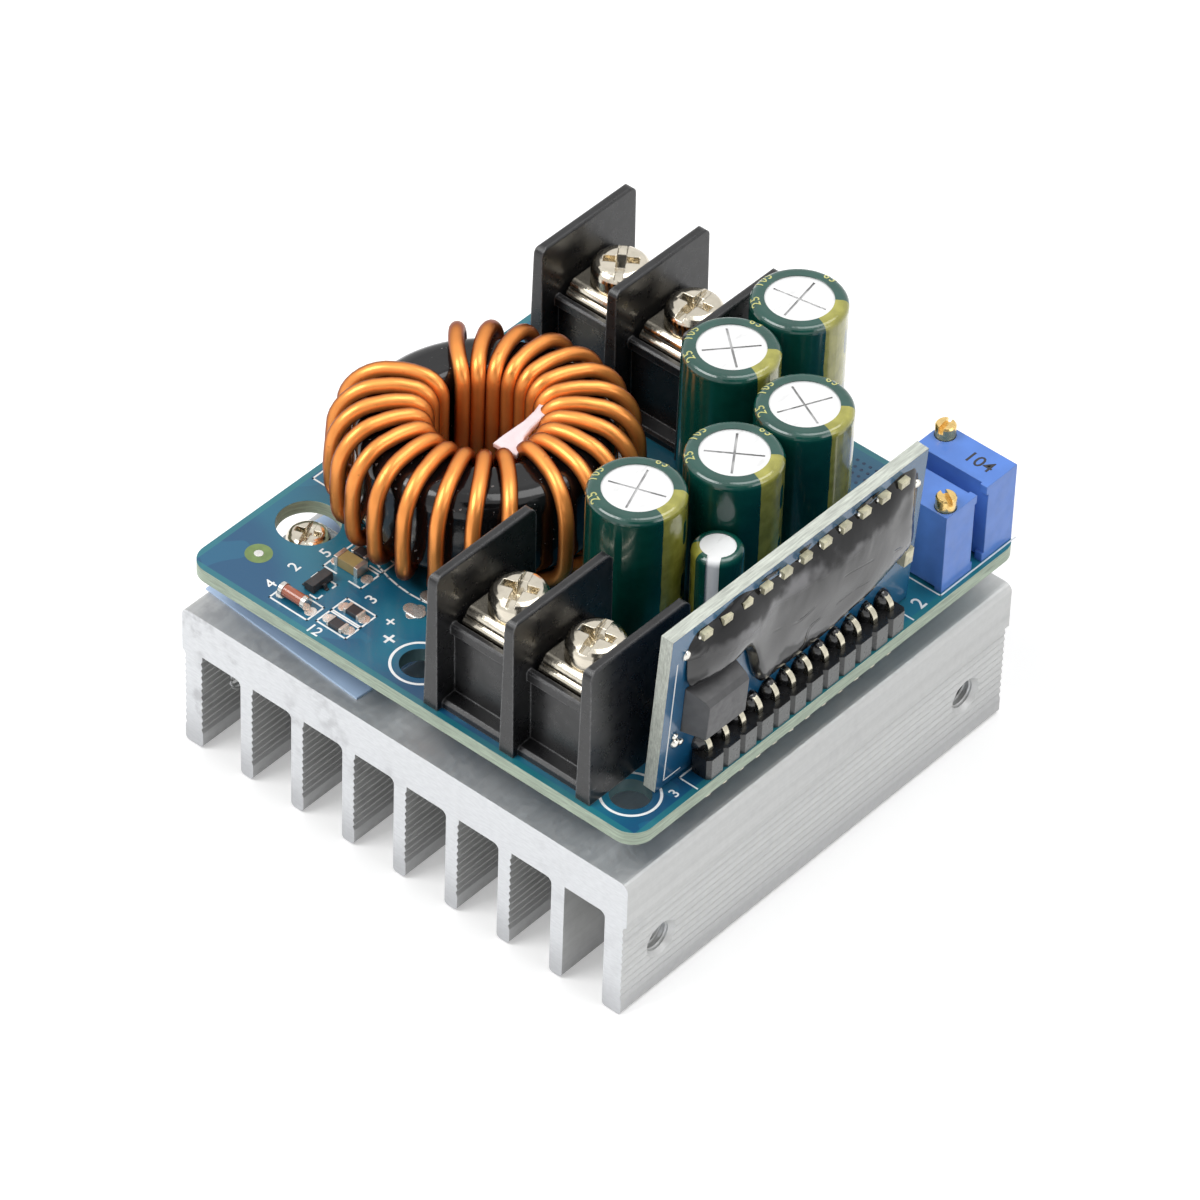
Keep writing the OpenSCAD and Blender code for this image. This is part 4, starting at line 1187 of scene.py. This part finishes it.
class Wardrobe:
    """Puts materials on CAD nodes."""

    @staticmethod
    def dress(look: Finish | bpy.types.Material, *nodes: str) -> bpy.types.Material:
        """Gives CAD nodes a finish, or a material made before.

        Args:
            look: the finish or the material.
            nodes: the nodes' names.

        Returns:
            The material.
        """
        material = look.make() if isinstance(look, Finish) else look
        for name in nodes:
            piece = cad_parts[name]
            if piece.material_slots:
                for slot in piece.material_slots:
                    slot.material = material
            else:
                piece.data.materials.append(material)
            LOG.info("%s wears %s", name, material.name)
        return material


@dataclass
class MainBoard:
    """The main board with its print, pads and small chips.

    Attributes:
        z: height of its upper face in millimetres.
        fixing: middles of the two fixing holes.
        fixing_ring: radius and width of the printed rings round them.
        coil: middle of the coil's printed circle.
        coil_radius: its radius.
        coil_arcs: first and last angle of each part that is printed.
        frames: two corners of each printed rectangle.
        strokes: points of each printed line.
        thin: width of the finer lines.
        thin_strokes: points of each finer line, round the header and the trimmers.
        lamp_ring: middle and radius of the ring round the indicator lamp.
        figures: plain numbers and signs, each with its middle, height and turn.
        fiducial: middle of the fiducial.
        wire_land: middle of the oval solder land beside the coil.
        chip_lands: middles of the solder lands of the chips.
        via_start: middle of the first via.
        via_step: distances between vias along X and Y.
        vias: how many vias lie along X and Y.
    """

    z: float = 24.5
    fixing: tuple[XY, ...] = ((25.8, -25.1), (-1.9, -25.1))
    fixing_ring: XY = (3.05, 0.3)
    coil: XY = (-9.5, -3.8)
    coil_radius: float = 14.4
    coil_arcs: tuple[XY, ...] = ((-135, -40), (100, 190))
    frames: tuple[Legs, ...] = (
        (-19.6, -28.1, -14.5, -25.6), (-13.75, -27.5, -9.8, -25.45), (-13.75, -25.2, -9.8, -22.95))
    strokes: tuple[tuple[XY, ...], ...] = (
        ((-17.1, -20.95), (-18.8, -20.95), (-18.8, -18.2), (-17.1, -18.2)),
        ((-17.1, -17.8), (-18.8, -17.8), (-18.8, -15.8), (-17.1, -15.8)),
        ((-15.3, -20.95), (-13.7, -20.95), (-13.7, -18.2), (-15.3, -18.2)),
        ((-15.3, -17.8), (-13.7, -17.8), (-13.7, -15.8), (-15.3, -15.8)),
        ((-16.8, -25.1), (-15.85, -25.1), (-15.85, -24.4)),
        ((-15.85, -22.8), (-15.85, -22.2), (-16.7, -22.2)),
        ((-18.5, -23.0), (-18.5, -22.0), (-17.9, -22.0)),
        ((-17.8, 14.4), (-26.6, 14.4), (-26.6, 10.5)),
        ((-28.6, -8.6), (-28.6, -11.9), (-26.0, -11.9)))
    thin: float = 0.18
    thin_strokes: tuple[tuple[XY, ...], ...] = (
        ((27.8, 13.3), (27.8, -20.1), (30.1, -20.1)), ((27.8, 13.3), (30.1, 13.3)),
        ((19.2, 17.95), (29.85, 17.95), (29.85, 30.0)), ((19.2, 17.95), (19.2, 30.0)))
    lamp_ring: tuple[XY, float] = ((-25.5, 20.6), 2.1)
    figures: tuple[tuple[str, XY, float, float], ...] = (
        ("4", (-20.8, -26.6), 1.4, 90), ("2", (-20.8, -23.1), 1.4, 90), ("3", (-11.8, -21.4), 1.4, 90),
        ("12", (-13.0, -28.7), 1.3, 0), ("5", (-19.9, -19.4), 1.4, 90), ("+", (-6.6, -24.7), 2.2, 0),
        ("+", (-8.2, -22.7), 1.6, 0), ("3", (28.9, -22.1), 1.2, 90), ("+", (-19.0, 28.7), 2.0, 0),
        ("-", (-3.4, 28.7), 2.0, 0), ("2", (29.0, 15.6), 1.7, 90))
    fiducial: XY = (-24.85, -24.05)
    wire_land: XY = (-7.35, -19.79)
    chip_lands: tuple[XY, ...] = ((-19.0, -26.9), (-15.1, -26.9), (-13.1, -26.4), (-10.4, -26.4),
                                  (-13.1, -24.1), (-10.4, -24.1), (-18.3, -19.5), (-14.2, -19.5))
    via_start: XY = (9.2, 25.4)
    via_step: XY = (0.85, 0.95)
    vias: tuple[int, int] = (9, 4)

    def print_marks(self, white: bpy.types.Material) -> None:
        """Outlines, rings, plain numbers and signs in white ink.

        Args:
            white: the ink's material.
        """
        ink = Ink(self.z)
        for at in self.fixing:
            ink.ring(at, *self.fixing_ring)
        for start, end in self.coil_arcs:
            ink.arc(self.coil, self.coil_radius, start, end)
        for corners in self.frames:
            ink.frame(*corners)
        for points in self.strokes:
            ink.path(points)
        for points in self.thin_strokes:
            ink.path(points, self.thin)
        ink.ring(*self.lamp_ring, self.thin)
        for text, at, size, turn in self.figures:
            ink.figure(text, at, size, turn)
        ink.make("board_print", white, "white_plastic")

    def pads(self, tin: bpy.types.Material, ring: bpy.types.Material, dark: bpy.types.Material) -> None:
        """Fiducial, solder lands and the field of filled vias.

        Args:
            tin: material of the lands.
            ring: material of the bare laminate ring.
            dark: material of the vias.
        """
        bare = Ink(self.z, 0.012)
        bare.disc(self.fiducial, 1.45)
        bare.make("bare_rings", ring, "cream_chips")
        lands = Ink(self.z, 0.03)
        lands.disc(self.fiducial, 0.5)
        lands.disc(self.wire_land, 1.25, 0.6, 90)
        for at in self.chip_lands:
            lands.disc(at, 0.62, 1.1)
        lands.make("solder_lands", tin, "tinned_metal")
        field = Ink(self.z, 0.008)
        for i in range(self.vias[0]):
            for j in range(self.vias[1]):
                x = self.via_start[0] + i * self.via_step[0] + (j % 2) * 0.4
                field.disc((x, self.via_start[1] + j * self.via_step[1]), 0.2)
        field.make("via_field", dark, "board_mask")

    def build(self) -> None:
        """Dresses the board and adds its surface work."""
        Wardrobe.dress(MaskedBoard("board_mask", (0.011, 0.155, 0.235), 0.3, coat=0.25, grain=300, bump=0.012,
                                   edge=0.1, laminate=(0.38, 0.46, 0.36)), "main_board")
        tin = Wardrobe.dress(Finish("tinned", (0.74, 0.73, 0.70), 0.28, 0.7, wander=0.1, grain=1500, bump=0.03),
                             "solder_joints", "board_pads", "capacitor_leads", "lamp_leads", "trimmer_pins",
                             "transistor_frame", "diode_frame")
        self.print_marks(Finish("white_ink", (0.82, 0.84, 0.84), 0.5, wander=0.05, edge=0).make())
        self.pads(tin, Finish("bare_laminate", (0.16, 0.24, 0.08), 0.4, edge=0).make(),
                  Finish("via_mask", (0.004, 0.03, 0.08), 0.3, edge=0).make())
        Wardrobe.dress(EndCaps("tan_ceramic", (0.36, 0.27, 0.11), 0.35, at=(-16.6,), half=1.1), "chip_capacitor")
        Wardrobe.dress(EndCaps("resistor_top", (0.03, 0.03, 0.035), 0.35, at=(-17.0, -11.7, -11.6), half=0.65),
                       "chip_resistors")
        Wardrobe.dress(EndCaps("amber_glass", (0.35, 0.09, 0.04), 0.12, coat=0.6, at=(-17.3,), half=1.25),
                       "glass_diode")
        Wardrobe.dress(ClearResin("lamp_resin", (0.93, 0.96, 0.95), 0.08, wander=0.02, edge=0), "indicator_lamp")


@dataclass
class Terminals:
    """Both barrier blocks with their plates, clamps and screws.

    Attributes:
        poles: the four ways, as the clamps and screws are named.
    """

    poles: tuple[str, ...] = ("in_minus", "in_plus", "out_plus", "out_minus")

    def build(self) -> None:
        """Dresses the blocks and their metal."""
        Wardrobe.dress(BlockMoulding("block_moulding", (0.011, 0.011, 0.012), 0.3, wander=0.25, grain=500,
                                     bump=0.012, edge=0.2), "input_block", "output_block")
        Wardrobe.dress(Finish("nickel_plate", (0.68, 0.625, 0.52), 0.15, 1.0, wander=0.10, grain=500, bump=0.025,
                              edge=0.16), "input_contacts", "output_contacts", "device_screws",
                       *[f"{piece}_{pole}" for piece in ("clamp", "screw") for pole in self.poles])


@dataclass
class Inductor:
    """Wound toroid: coated core, enamelled winding and a strand of adhesive.

    Attributes:
        at: its axis in millimetres.
        foot: height of the wire's lowest middle line.
        top: height of its highest middle line.
        leg_in: radius of the inner legs.
        leg_out: radius of the outer legs.
        inner_bend: radius of the bends at the eye.
        outer_bend: radius of the bends at the rim.
        wire: the wire's diameter.
        turns: how many turns there are.
        before_gap: how many of them come before the wider gap.
        out_turn: start, two steps and gap of the outer legs' directions in degrees.
        in_turn: the same for the inner legs.
        tail: how far the last turn leans on to its lead, in degrees.
        sag: how far a flat run or a leg bows.
        lead_end: height where the leads end.
        web_z: height of the web of adhesive.
        web: its outline.
    """

    at: XY = (-12.3, -4.0)
    foot: float = 25.425
    top: float = 38.555
    leg_in: float = 6.035
    leg_out: float = 15.475
    inner_bend: float = 2.165
    outer_bend: float = 4.5
    wire: float = 1.68
    turns: int = 22
    before_gap: int = 10
    out_turn: Legs = (-161, 13.5, 14.4, 22.8)
    in_turn: Legs = (-181, 16.5, 15, 21.7)
    tail: float = 5
    sag: float = 0.12
    lead_end: float = 21.4
    web_z: float = 37.4
    web: tuple[XY, ...] = (
        (-8.78, -6.55), (-8.82, -5.14), (-8.77, -3.84), (-8.70, -2.10), (-8.90, -0.20), (-9.35, 1.07),
        (-8.40, 0.90), (-7.98, -0.18), (-7.72, -2.45), (-7.33, -3.95), (-6.44, -5.41), (-6.13, -6.37))

    def leg(self, k: int, plan: Legs) -> float:
        """Direction of a turn's leg.

        Args:
            k: the turn's number.
            plan: start, two steps and the gap between them, in degrees.

        Returns:
            The direction in degrees.
        """
        start, first, second, gap = plan
        if k < self.before_gap:
            return start + k * first
        return start + (self.before_gap - 1) * first + gap + (k - self.before_gap) * second

    def arc(self, centre: XY, radius: float, a: float, b: float, steps: int) -> list[XY]:
        """Points of a bend in (radius, height)."""
        turns = [math.radians(a + (b - a) * i / steps) for i in range(steps + 1)]
        return [(centre[0] + radius * math.cos(t), centre[1] + radius * math.sin(t)) for t in turns]

    def point(self, q: XY, a: float, b: float) -> Vector:
        """A point of a turn between its outer direction a and its inner direction b."""
        share = (self.leg_out - q[0]) / (self.leg_out - self.leg_in)
        turn = math.radians(a + (b - a) * share)
        return metres(self.at[0] + q[0] * math.cos(turn), self.at[1] + q[0] * math.sin(turn), q[1])

    def route(self) -> list[Vector]:
        """The wire's middle line from its first lead to its last one."""
        inner, outer = self.inner_bend, self.outer_bend
        middle = (self.foot + self.top) / 2
        over = [(self.leg_out, self.foot + outer), (self.leg_out + self.sag, middle)]
        over += self.arc((self.leg_out - outer, self.top - outer), outer, 0, 90, 9)
        flat = self.leg_out - outer - self.leg_in - inner
        over += [(self.leg_out - outer - flat * share, self.top + self.sag * math.sin(math.pi * share))
                 for share in (0.33, 0.67)]
        over += self.arc((self.leg_in + inner, self.top - inner), inner, 90, 180, 6)
        under = self.arc((self.leg_in + inner, self.foot + inner), inner, 180, 270, 6)
        under += self.arc((self.leg_out - outer, self.foot + outer), outer, 270, 352, 8)
        route = [self.point((self.leg_out, z), self.out_turn[0], 0) for z in (self.lead_end, 24.5, 27.5)]
        for k in range(self.turns):
            a, b = self.leg(k, self.out_turn), self.leg(k, self.in_turn)
            last = k == self.turns - 1
            following = self.leg(k + 1, self.out_turn) if not last else b + self.tail
            route += [self.point(q, a, b) for q in over]
            route += [self.point(q, following, b) for q in under if not last or q[0] <= self.leg_out - outer]
        end = self.leg(self.turns - 1, self.in_turn) + self.tail
        route += [self.point(q, end, end) for q in self.arc((self.leg_out - 1, self.foot - 1), 1, 90, 0, 4)]
        route.append(self.point((self.leg_out, self.lead_end), end, end))
        return route

    def winding(self, material: bpy.types.Material) -> None:
        """Sweeps the wire as one smooth tube.

        Args:
            material: the enamel.
        """
        Bench.clear()
        bpy.ops.curve.primitive_nurbs_path_add()
        tube = bpy.context.active_object
        curve = tube.data
        curve.splines.clear()
        points = self.route()
        spline = curve.splines.new("POLY")
        spline.points.add(len(points) - 1)
        for slot, place in zip(spline.points, points):
            slot.co = (*place, 1)
        curve.dimensions = "3D"
        curve.bevel_depth = self.wire / 2 * MM
        curve.bevel_resolution = 5
        curve.use_fill_caps = True
        bpy.ops.object.convert(target="MESH")
        piece = bpy.context.active_object
        piece.name = piece.data.name = "winding"
        Bench.finish(piece, material, "enamelled_wire", 60)
        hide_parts("inductor_winding")

    def strand(self, material: bpy.types.Material) -> None:
        """A drawn web of adhesive across one side of the eye, broad at its foot.

        Args:
            material: the adhesive.
        """
        Bench.clear()
        bpy.ops.curve.primitive_nurbs_circle_add()
        web = bpy.context.active_object
        curve = web.data
        curve.splines.clear()
        spline = curve.splines.new("POLY")
        spline.points.add(len(self.web) - 1)
        for slot, (x, y) in zip(spline.points, self.web):
            slot.co = (*metres(x, y, 0), 1)
        spline.use_cyclic_u = True
        curve.dimensions = "2D"
        curve.fill_mode = "BOTH"
        curve.extrude = 0.2 * MM
        curve.bevel_depth = 0.15 * MM
        curve.bevel_resolution = 2
        web.location.z = self.web_z * MM
        bpy.ops.object.convert(target="MESH")
        piece = Bench.settle(bpy.context.active_object)
        texture = bpy.data.textures.new("strand_lumps", "CLOUDS")
        texture.noise_scale = 0.0012
        Bench.apply(piece, "DISPLACE", texture=texture, strength=0.0003)
        piece.name = "adhesive_strand"
        Bench.finish(piece, material, "adhesive", 80)

    def build(self) -> None:
        """Makes the winding and dresses the core."""
        self.winding(Enamel("wire_enamel", (0.90, 0.33, 0.082), 0.33, 0.58, coat=0.12, wander=0.08, grain=300,
                            bump=0.006, edge=0).make())
        Wardrobe.dress(CoatedCore("core_coating", (0.005, 0.005, 0.006), 0.12, coat=0.3, grain=300, bump=0.05),
                       "inductor_core")
        glue = Finish("dried_adhesive", (0.80, 0.68, 0.70), 0.4, coat=0.3, wander=0.05, bump=0.05)
        self.strand(Wardrobe.dress(glue, "inductor_adhesive"))


@dataclass
class Capacitors:
    """Five large capacitors and a small one in their sleeves.

    Attributes:
        large: axes of the large ones in millimetres.
        small: axis of the small one.
        top: height of the large sleeves' tops.
        radius: radius of the large sleeves.
        shoulder: radius of their rounded shoulders.
        opening: radius of the opening over the can.
        figures: plain numbers on the shoulders and their directions in degrees.
        letter: height of those numbers.
        spread: radius on which they are wrapped.
        short_top: height of the small one's CAD top.
        rise: how much higher it really is.
    """

    large: tuple[XY, ...] = ((11.2, -8.2), (14.8, 2.35), (15.2, 12.7), (4.2, 14.4), (4.3, 24.9))
    small: XY = (18.7, -4.4)
    top: float = 44.8
    radius: float = 5.1
    shoulder: float = 0.8
    opening: float = 3.6
    figures: tuple[tuple[str, float], ...] = (("105", 190), ("25", 235), ("63", 92))
    letter: float = 1.45
    spread: float = 4.7
    short_top: float = 31.7
    rise: float = 7.6

    def wrapped(self, text: str, at: XY, turn: float) -> bpy.types.Object:
        """Plain figures laid over a sleeve's shoulder, their heads outwards.

        Args:
            text: the figures.
            at: the capacitor's axis.
            turn: direction of their middle in degrees.

        Returns:
            The settled mesh.
        """
        Bench.clear()
        bpy.ops.object.text_add()
        made = bpy.context.active_object
        made.data.body = text
        made.data.align_x = made.data.align_y = "CENTER"
        made.data.size = self.letter
        made.data.resolution_u = 2
        made.data.space_character = 1.15
        made.data.offset = 0.015
        bpy.ops.object.convert(target="MESH")
        made = bpy.context.active_object
        bpy.ops.object.mode_set(mode="EDIT")
        for axis, cuts, step in (((0, 1, 0), 4, 0.13), ((1, 0, 0), 6, 0.3)):
            for i in range(-cuts, cuts + 1):
                bpy.ops.mesh.select_all(action="SELECT")
                bpy.ops.mesh.bisect(plane_co=Vector(axis) * i * step, plane_no=axis)
        bpy.ops.object.mode_set(mode="OBJECT")
        flat = self.radius - self.shoulder - self.opening
        middle = flat + 0.25
        for vertex in made.data.vertices:
            along = max(0.0, middle + vertex.co.y)
            if along < flat:
                r, z = self.opening + along, self.top + 0.02
            else:
                bend = min(math.pi / 2, (along - flat) / self.shoulder)
                drop = max(0.0, along - flat - self.shoulder * math.pi / 2)
                r = self.radius - self.shoulder + (self.shoulder + 0.02) * math.sin(bend)
                z = self.top - self.shoulder + (self.shoulder + 0.02) * math.cos(bend) - drop
            angle = math.radians(turn) - vertex.co.x / self.spread
            vertex.co = metres(at[0] + r * math.cos(angle), at[1] + r * math.sin(angle), z)
        return Bench.settle(made)

    def taller(self, node: str, name: str, material: bpy.types.Material, slot: str) -> None:
        """The small capacitor's can or sleeve at its full height.

        Args:
            node: the CAD node it stands for.
            name: the piece's name.
            material: its material.
            slot: the record's material slot.
        """
        piece = Bench.twin(node, name)
        for vertex in piece.data.vertices:
            if vertex.co.z > (self.short_top - 3) * MM:
                vertex.co.z += self.rise * MM
        Bench.finish(piece, material, slot, 40)
        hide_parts(node)

    def build(self) -> None:
        """Dresses cans and sleeves and prints the figures."""
        Wardrobe.dress(ScoredTop("can_metal", (0.86, 0.86, 0.86), 0.34, 0.45, wander=0.05, grain=2200, bump=0.02,
                                 edge=0.08), *[f"capacitor_can_{i + 1}" for i in range(len(self.large))])
        parts: list[bpy.types.Object] = []
        for i, at in enumerate(self.large, 1):
            Wardrobe.dress(Sleeve(f"sleeve_{i}", (0.003, 0.062, 0.046), 0.18, coat=0.6, wander=0.12, bump=0.12,
                                  edge=0.0, at=at, top=self.top), f"capacitor_sleeve_{i}")
            parts += [self.wrapped(text, at, turn + 6 * math.sin(i * 2.1)) for text, turn in self.figures]
        # Painted light: a paler, non-metal copy of the can metal, so the small can, shaded by the tall ones, shows
        # white.
        painted_lit_can = ScoredTop("small_can_painted_light", (0.95, 0.95, 0.95), 0.34, 0.0, wander=0.04, bump=0.02, edge=0.08,
                           level=0.0)
        self.taller("capacitor_can_small", "small_can", painted_lit_can.make(), "can_aluminium")
        green = Sleeve("sleeve_small", (0.003, 0.070, 0.05), 0.18, coat=0.6, wander=0.12, bump=0.1, edge=0.0,
                       at=self.small, top=self.short_top + self.rise, band=(-152, -104), mark=None, radius=2.7)
        self.taller("capacitor_sleeve_small", "small_sleeve", green.make(), "green_sleeve")
        Wardrobe.dress(Finish("seal_rubber", (0.03, 0.03, 0.03), 0.7), "capacitor_seals")
        gold = Finish("sleeve_figures", (0.50, 0.50, 0.18), 0.35, coat=0.4, wander=0.08, edge=0).make()
        Bench.finish(Bench.join(parts, "sleeve_figures"), gold, "green_sleeve", None)


@dataclass
class Controller:
    """The leaning board with its header, power package and poured epoxy.

    Attributes:
        hinge: near lower corner of the board's outer face in millimetres.
        lean: how far it leans outwards, in degrees.
        spread: how far the epoxy spreads upwards and downwards.
        lap: how far it sags over the power package.
        package: the package reaches to this place along, and the sag to this height.
        thin_from: the height from which the epoxy gets thinner.
        spread_from: the heights above and below which it spreads.
        pins_y: place of the first pin and the header's pitch.
        ways: how many pins there are.
        pin_mound: half sizes of the mound of epoxy under a pin.
        row: place along and up, pitch, size and number of the lumps of solder in the row.
        spots: place along and up, and size, of the single lumps.
        lines: points of the printed lines.
    """

    hinge: XYZ = (27.48, -23.42, 24.6)
    lean: float = 4.0
    spread: XY = (1.85, 0.8)
    lap: float = 1.3
    package: XY = (11.4, 15.5)
    thin_from: float = 14.5
    spread_from: XY = (11, 10)
    pins_y: XY = (-17.3, 2.54)
    ways: int = 12
    pin_mound: XYZ = (1.15, 1.08, 1.35)
    row: tuple[float, float, float, float, int] = (4.3, 19.0, 3.0, 0.42, 11)
    spots: tuple[XYZ, ...] = ((2.3, 17.6, 0.55), (2.1, 5.6, 0.6), (3.0, 5.2, 0.4), (2.0, 6.6, 0.35),
                                 (9.8, 5.9, 0.35), (37.4, 16.9, 0.5))
    lines: tuple[tuple[XY, ...], ...] = (((1.15, 17.0), (1.15, 0.9), (3.6, 0.9)),
                                         ((37.9, 12.5), (37.9, 8.5), (36.6, 8.5)))

    def fillets(self, material: bpy.types.Material) -> None:
        """Rounded mounds of epoxy under the bent pins.

        Args:
            material: the epoxy.
        """
        parts: list[bpy.types.Object] = []
        deep, wide, tall = self.pin_mound
        for i in range(self.ways):
            Bench.clear()
            bpy.ops.mesh.primitive_uv_sphere_add(segments=28, ring_count=18, radius=MM,
                                                 scale=(deep, wide + 0.06 * math.sin(i * 2.3), tall))
            blob = Bench.settle(bpy.context.active_object)
            local = metres(0.05, self.pins_y[0] + i * self.pins_y[1], 3.0 + 0.12 * math.cos(i * 1.7))
            local.y -= self.hinge[1] * MM
            blob.data.transform(self.stand() @ Matrix.Translation(local))
            parts.append(blob)
        Bench.finish(Bench.join(parts, "pin_fillets"), material, "epoxy", 80)

    def stand(self) -> Matrix:
        """From the board's own face, drawn flat in (y, z), to its place."""
        return Matrix.Translation(metres(*self.hinge)) @ Matrix.Rotation(math.radians(self.lean), 4, "Y")

    def upright(self, piece: bpy.types.Object) -> bpy.types.Object:
        """Turns a print drawn flat at z = 0 onto the board's outer face."""
        flat = Matrix(((0, 0, 1, 0), (1, 0, 0, 0), (0, 1, 0, 0), (0, 0, 0, 1)))
        piece.data.transform(self.stand() @ flat)
        return piece

    def epoxy(self, material: bpy.types.Material) -> None:
        """Spreads, rounds and ripples the poured epoxy.

        Args:
            material: the epoxy.
        """
        piece = Bench.twin("controller_potting", "epoxy_pour")
        back = self.stand().inverted()
        for vertex in piece.data.vertices:
            place = back @ vertex.co
            near = passed(self.package[0] - place.y / MM, 1.5)
            place.z -= self.lap * MM * near * passed(self.package[1] - place.z / MM, 2.0)
            thin = passed(place.z / MM - self.thin_from, 3.0)
            place.x = place.x * (0.84 - 0.62 * thin) - 0.22 * MM * thin
            place.z += self.spread[0] * MM * passed(place.z / MM - self.spread_from[0], 5)
            place.z -= self.spread[1] * MM * passed(self.spread_from[1] - place.z / MM, 3)
            vertex.co = self.stand() @ place
        Bench.apply(piece, "SUBSURF", levels=2, render_levels=2)
        texture = bpy.data.textures.new("pour_folds", "CLOUDS")
        texture.noise_scale = 0.0075
        texture.noise_depth = 1
        Bench.apply(piece, "DISPLACE", texture=texture, strength=0.0009, mid_level=0.5)
        Bench.finish(piece, material, "epoxy", 80)
        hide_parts("controller_potting")

    def solder(self, material: bpy.types.Material) -> None:
        """Lumps of solder along the top edge and round the power package.

        Args:
            material: the solder.
        """
        start, height, pitch, lump, number = self.row
        spots = [(start + i * pitch, height, lump) for i in range(number)] + list(self.spots)
        parts: list[bpy.types.Object] = []
        for i, (y, z, size) in enumerate(spots):
            Bench.clear()
            bpy.ops.mesh.primitive_ico_sphere_add(subdivisions=2, radius=size * MM, scale=(0.7, 1.25, 1.0),
                                                  rotation=(i * 0.7, 0, 0))
            blob = Bench.settle(bpy.context.active_object)
            blob.data.transform(self.stand() @ Matrix.Translation(metres(0.1, y, z)))
            parts.append(blob)
        piece = Bench.join(parts, "controller_solder")
        texture = bpy.data.textures.new("solder_lumps", "CLOUDS")
        texture.noise_scale = 0.0008
        Bench.apply(piece, "DISPLACE", texture=texture, strength=0.0004)
        Bench.finish(piece, material, "tinned_metal", 60)

    def marks(self, white: bpy.types.Material) -> None:
        """Thin white lines beside the header and the far end.

        Args:
            white: the ink.
        """
        ink = Ink(0)
        for points in self.lines:
            ink.path(points, 0.16)
        for part in ink.parts:
            self.upright(part)
        ink.make("controller_print", white, "white_plastic")

    def build(self) -> None:
        """Dresses the board and pours the epoxy."""
        Wardrobe.dress(MaskedBoard("controller_mask", (0.008, 0.10, 0.22), 0.25, coat=0.5, grain=300, bump=0.015,
                                   edge=0.1, side=BoardFace.UPRIGHT, laminate=(0.53, 0.56, 0.50),
                                   weave=(3.0, 0.2, 0.6)), "controller_board")
        self.epoxy(PottedEpoxy("poured_epoxy", (0.078, 0.077, 0.081), 0.22, coat=0.45, wander=0.85, grain=300,
                               bump=0.12, edge=0).make())
        self.fillets(Finish("wet_epoxy", (0.007, 0.007, 0.008), 0.14, coat=0.6, grain=500, bump=0.04, edge=0).make())
        Wardrobe.dress(Finish("package_moulding", (0.075, 0.075, 0.078), 0.42, wander=0.12, bump=0.02, edge=0.15),
                       "power_package")
        Wardrobe.dress(HeaderMoulding("header_moulding", (0.012, 0.012, 0.013), 0.3, wander=0.25, bump=0.02,
                                      edge=0.1), "header_block")
        Wardrobe.dress(Finish("pin_plate", (0.62, 0.58, 0.46), 0.24, 1.0, wander=0.12, edge=0.1), "header_pins")
        Wardrobe.dress(Finish("chip_ends", (0.62, 0.58, 0.40), 0.3, wander=0.25, bump=0.05), "controller_chips")
        self.solder(Finish("wet_solder", (0.80, 0.78, 0.72), 0.2, 1.0, wander=0.12, edge=0).make())
        self.marks(Finish("controller_ink", (0.80, 0.82, 0.82), 0.5, wander=0.04, edge=0).make())


@dataclass
class Trimmers:
    """Two multi-turn trimmers with brass adjusting screws.

    Attributes:
        top: height of the housings' tops in millimetres.
        code_at: middle of the number on the far one.
    """

    top: float = 34.53
    code_at: XY = (26.6, 27.2)

    def build(self) -> None:
        """Dresses housings and screws."""
        Wardrobe.dress(Finish("trimmer_moulding", (0.085, 0.21, 0.62), 0.4, coat=0.2, wander=0.05, grain=500,
                              bump=0.012, edge=0.15), "trimmer_near", "trimmer_far")
        Wardrobe.dress(Finish("turned_brass", (0.80, 0.56, 0.22), 0.26, 1.0, wander=0.1, grain=1800, bump=0.02,
                              edge=0.06), "trimmer_screw_near", "trimmer_screw_far")
        code = Ink(self.top, 0.015)
        code.figure("104", self.code_at, 1.7)
        code.make("trimmer_code", Finish("code_ink", (0.02, 0.02, 0.025), 0.5, edge=0).make(), "trimmer_plastic")


def main() -> None:
    """Builds the looks of every sub-assembly in order."""
    logging.basicConfig(level=logging.INFO, format="%(name)s: %(message)s")
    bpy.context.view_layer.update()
    Studio().build()
    for assembly in (Cooler(), MainBoard(), Terminals(), Inductor(), Capacitors(), Controller(), Trimmers()):
        LOG.info("building %s", type(assembly).__name__)
        assembly.build()


if __name__ == "__main__":
    main()
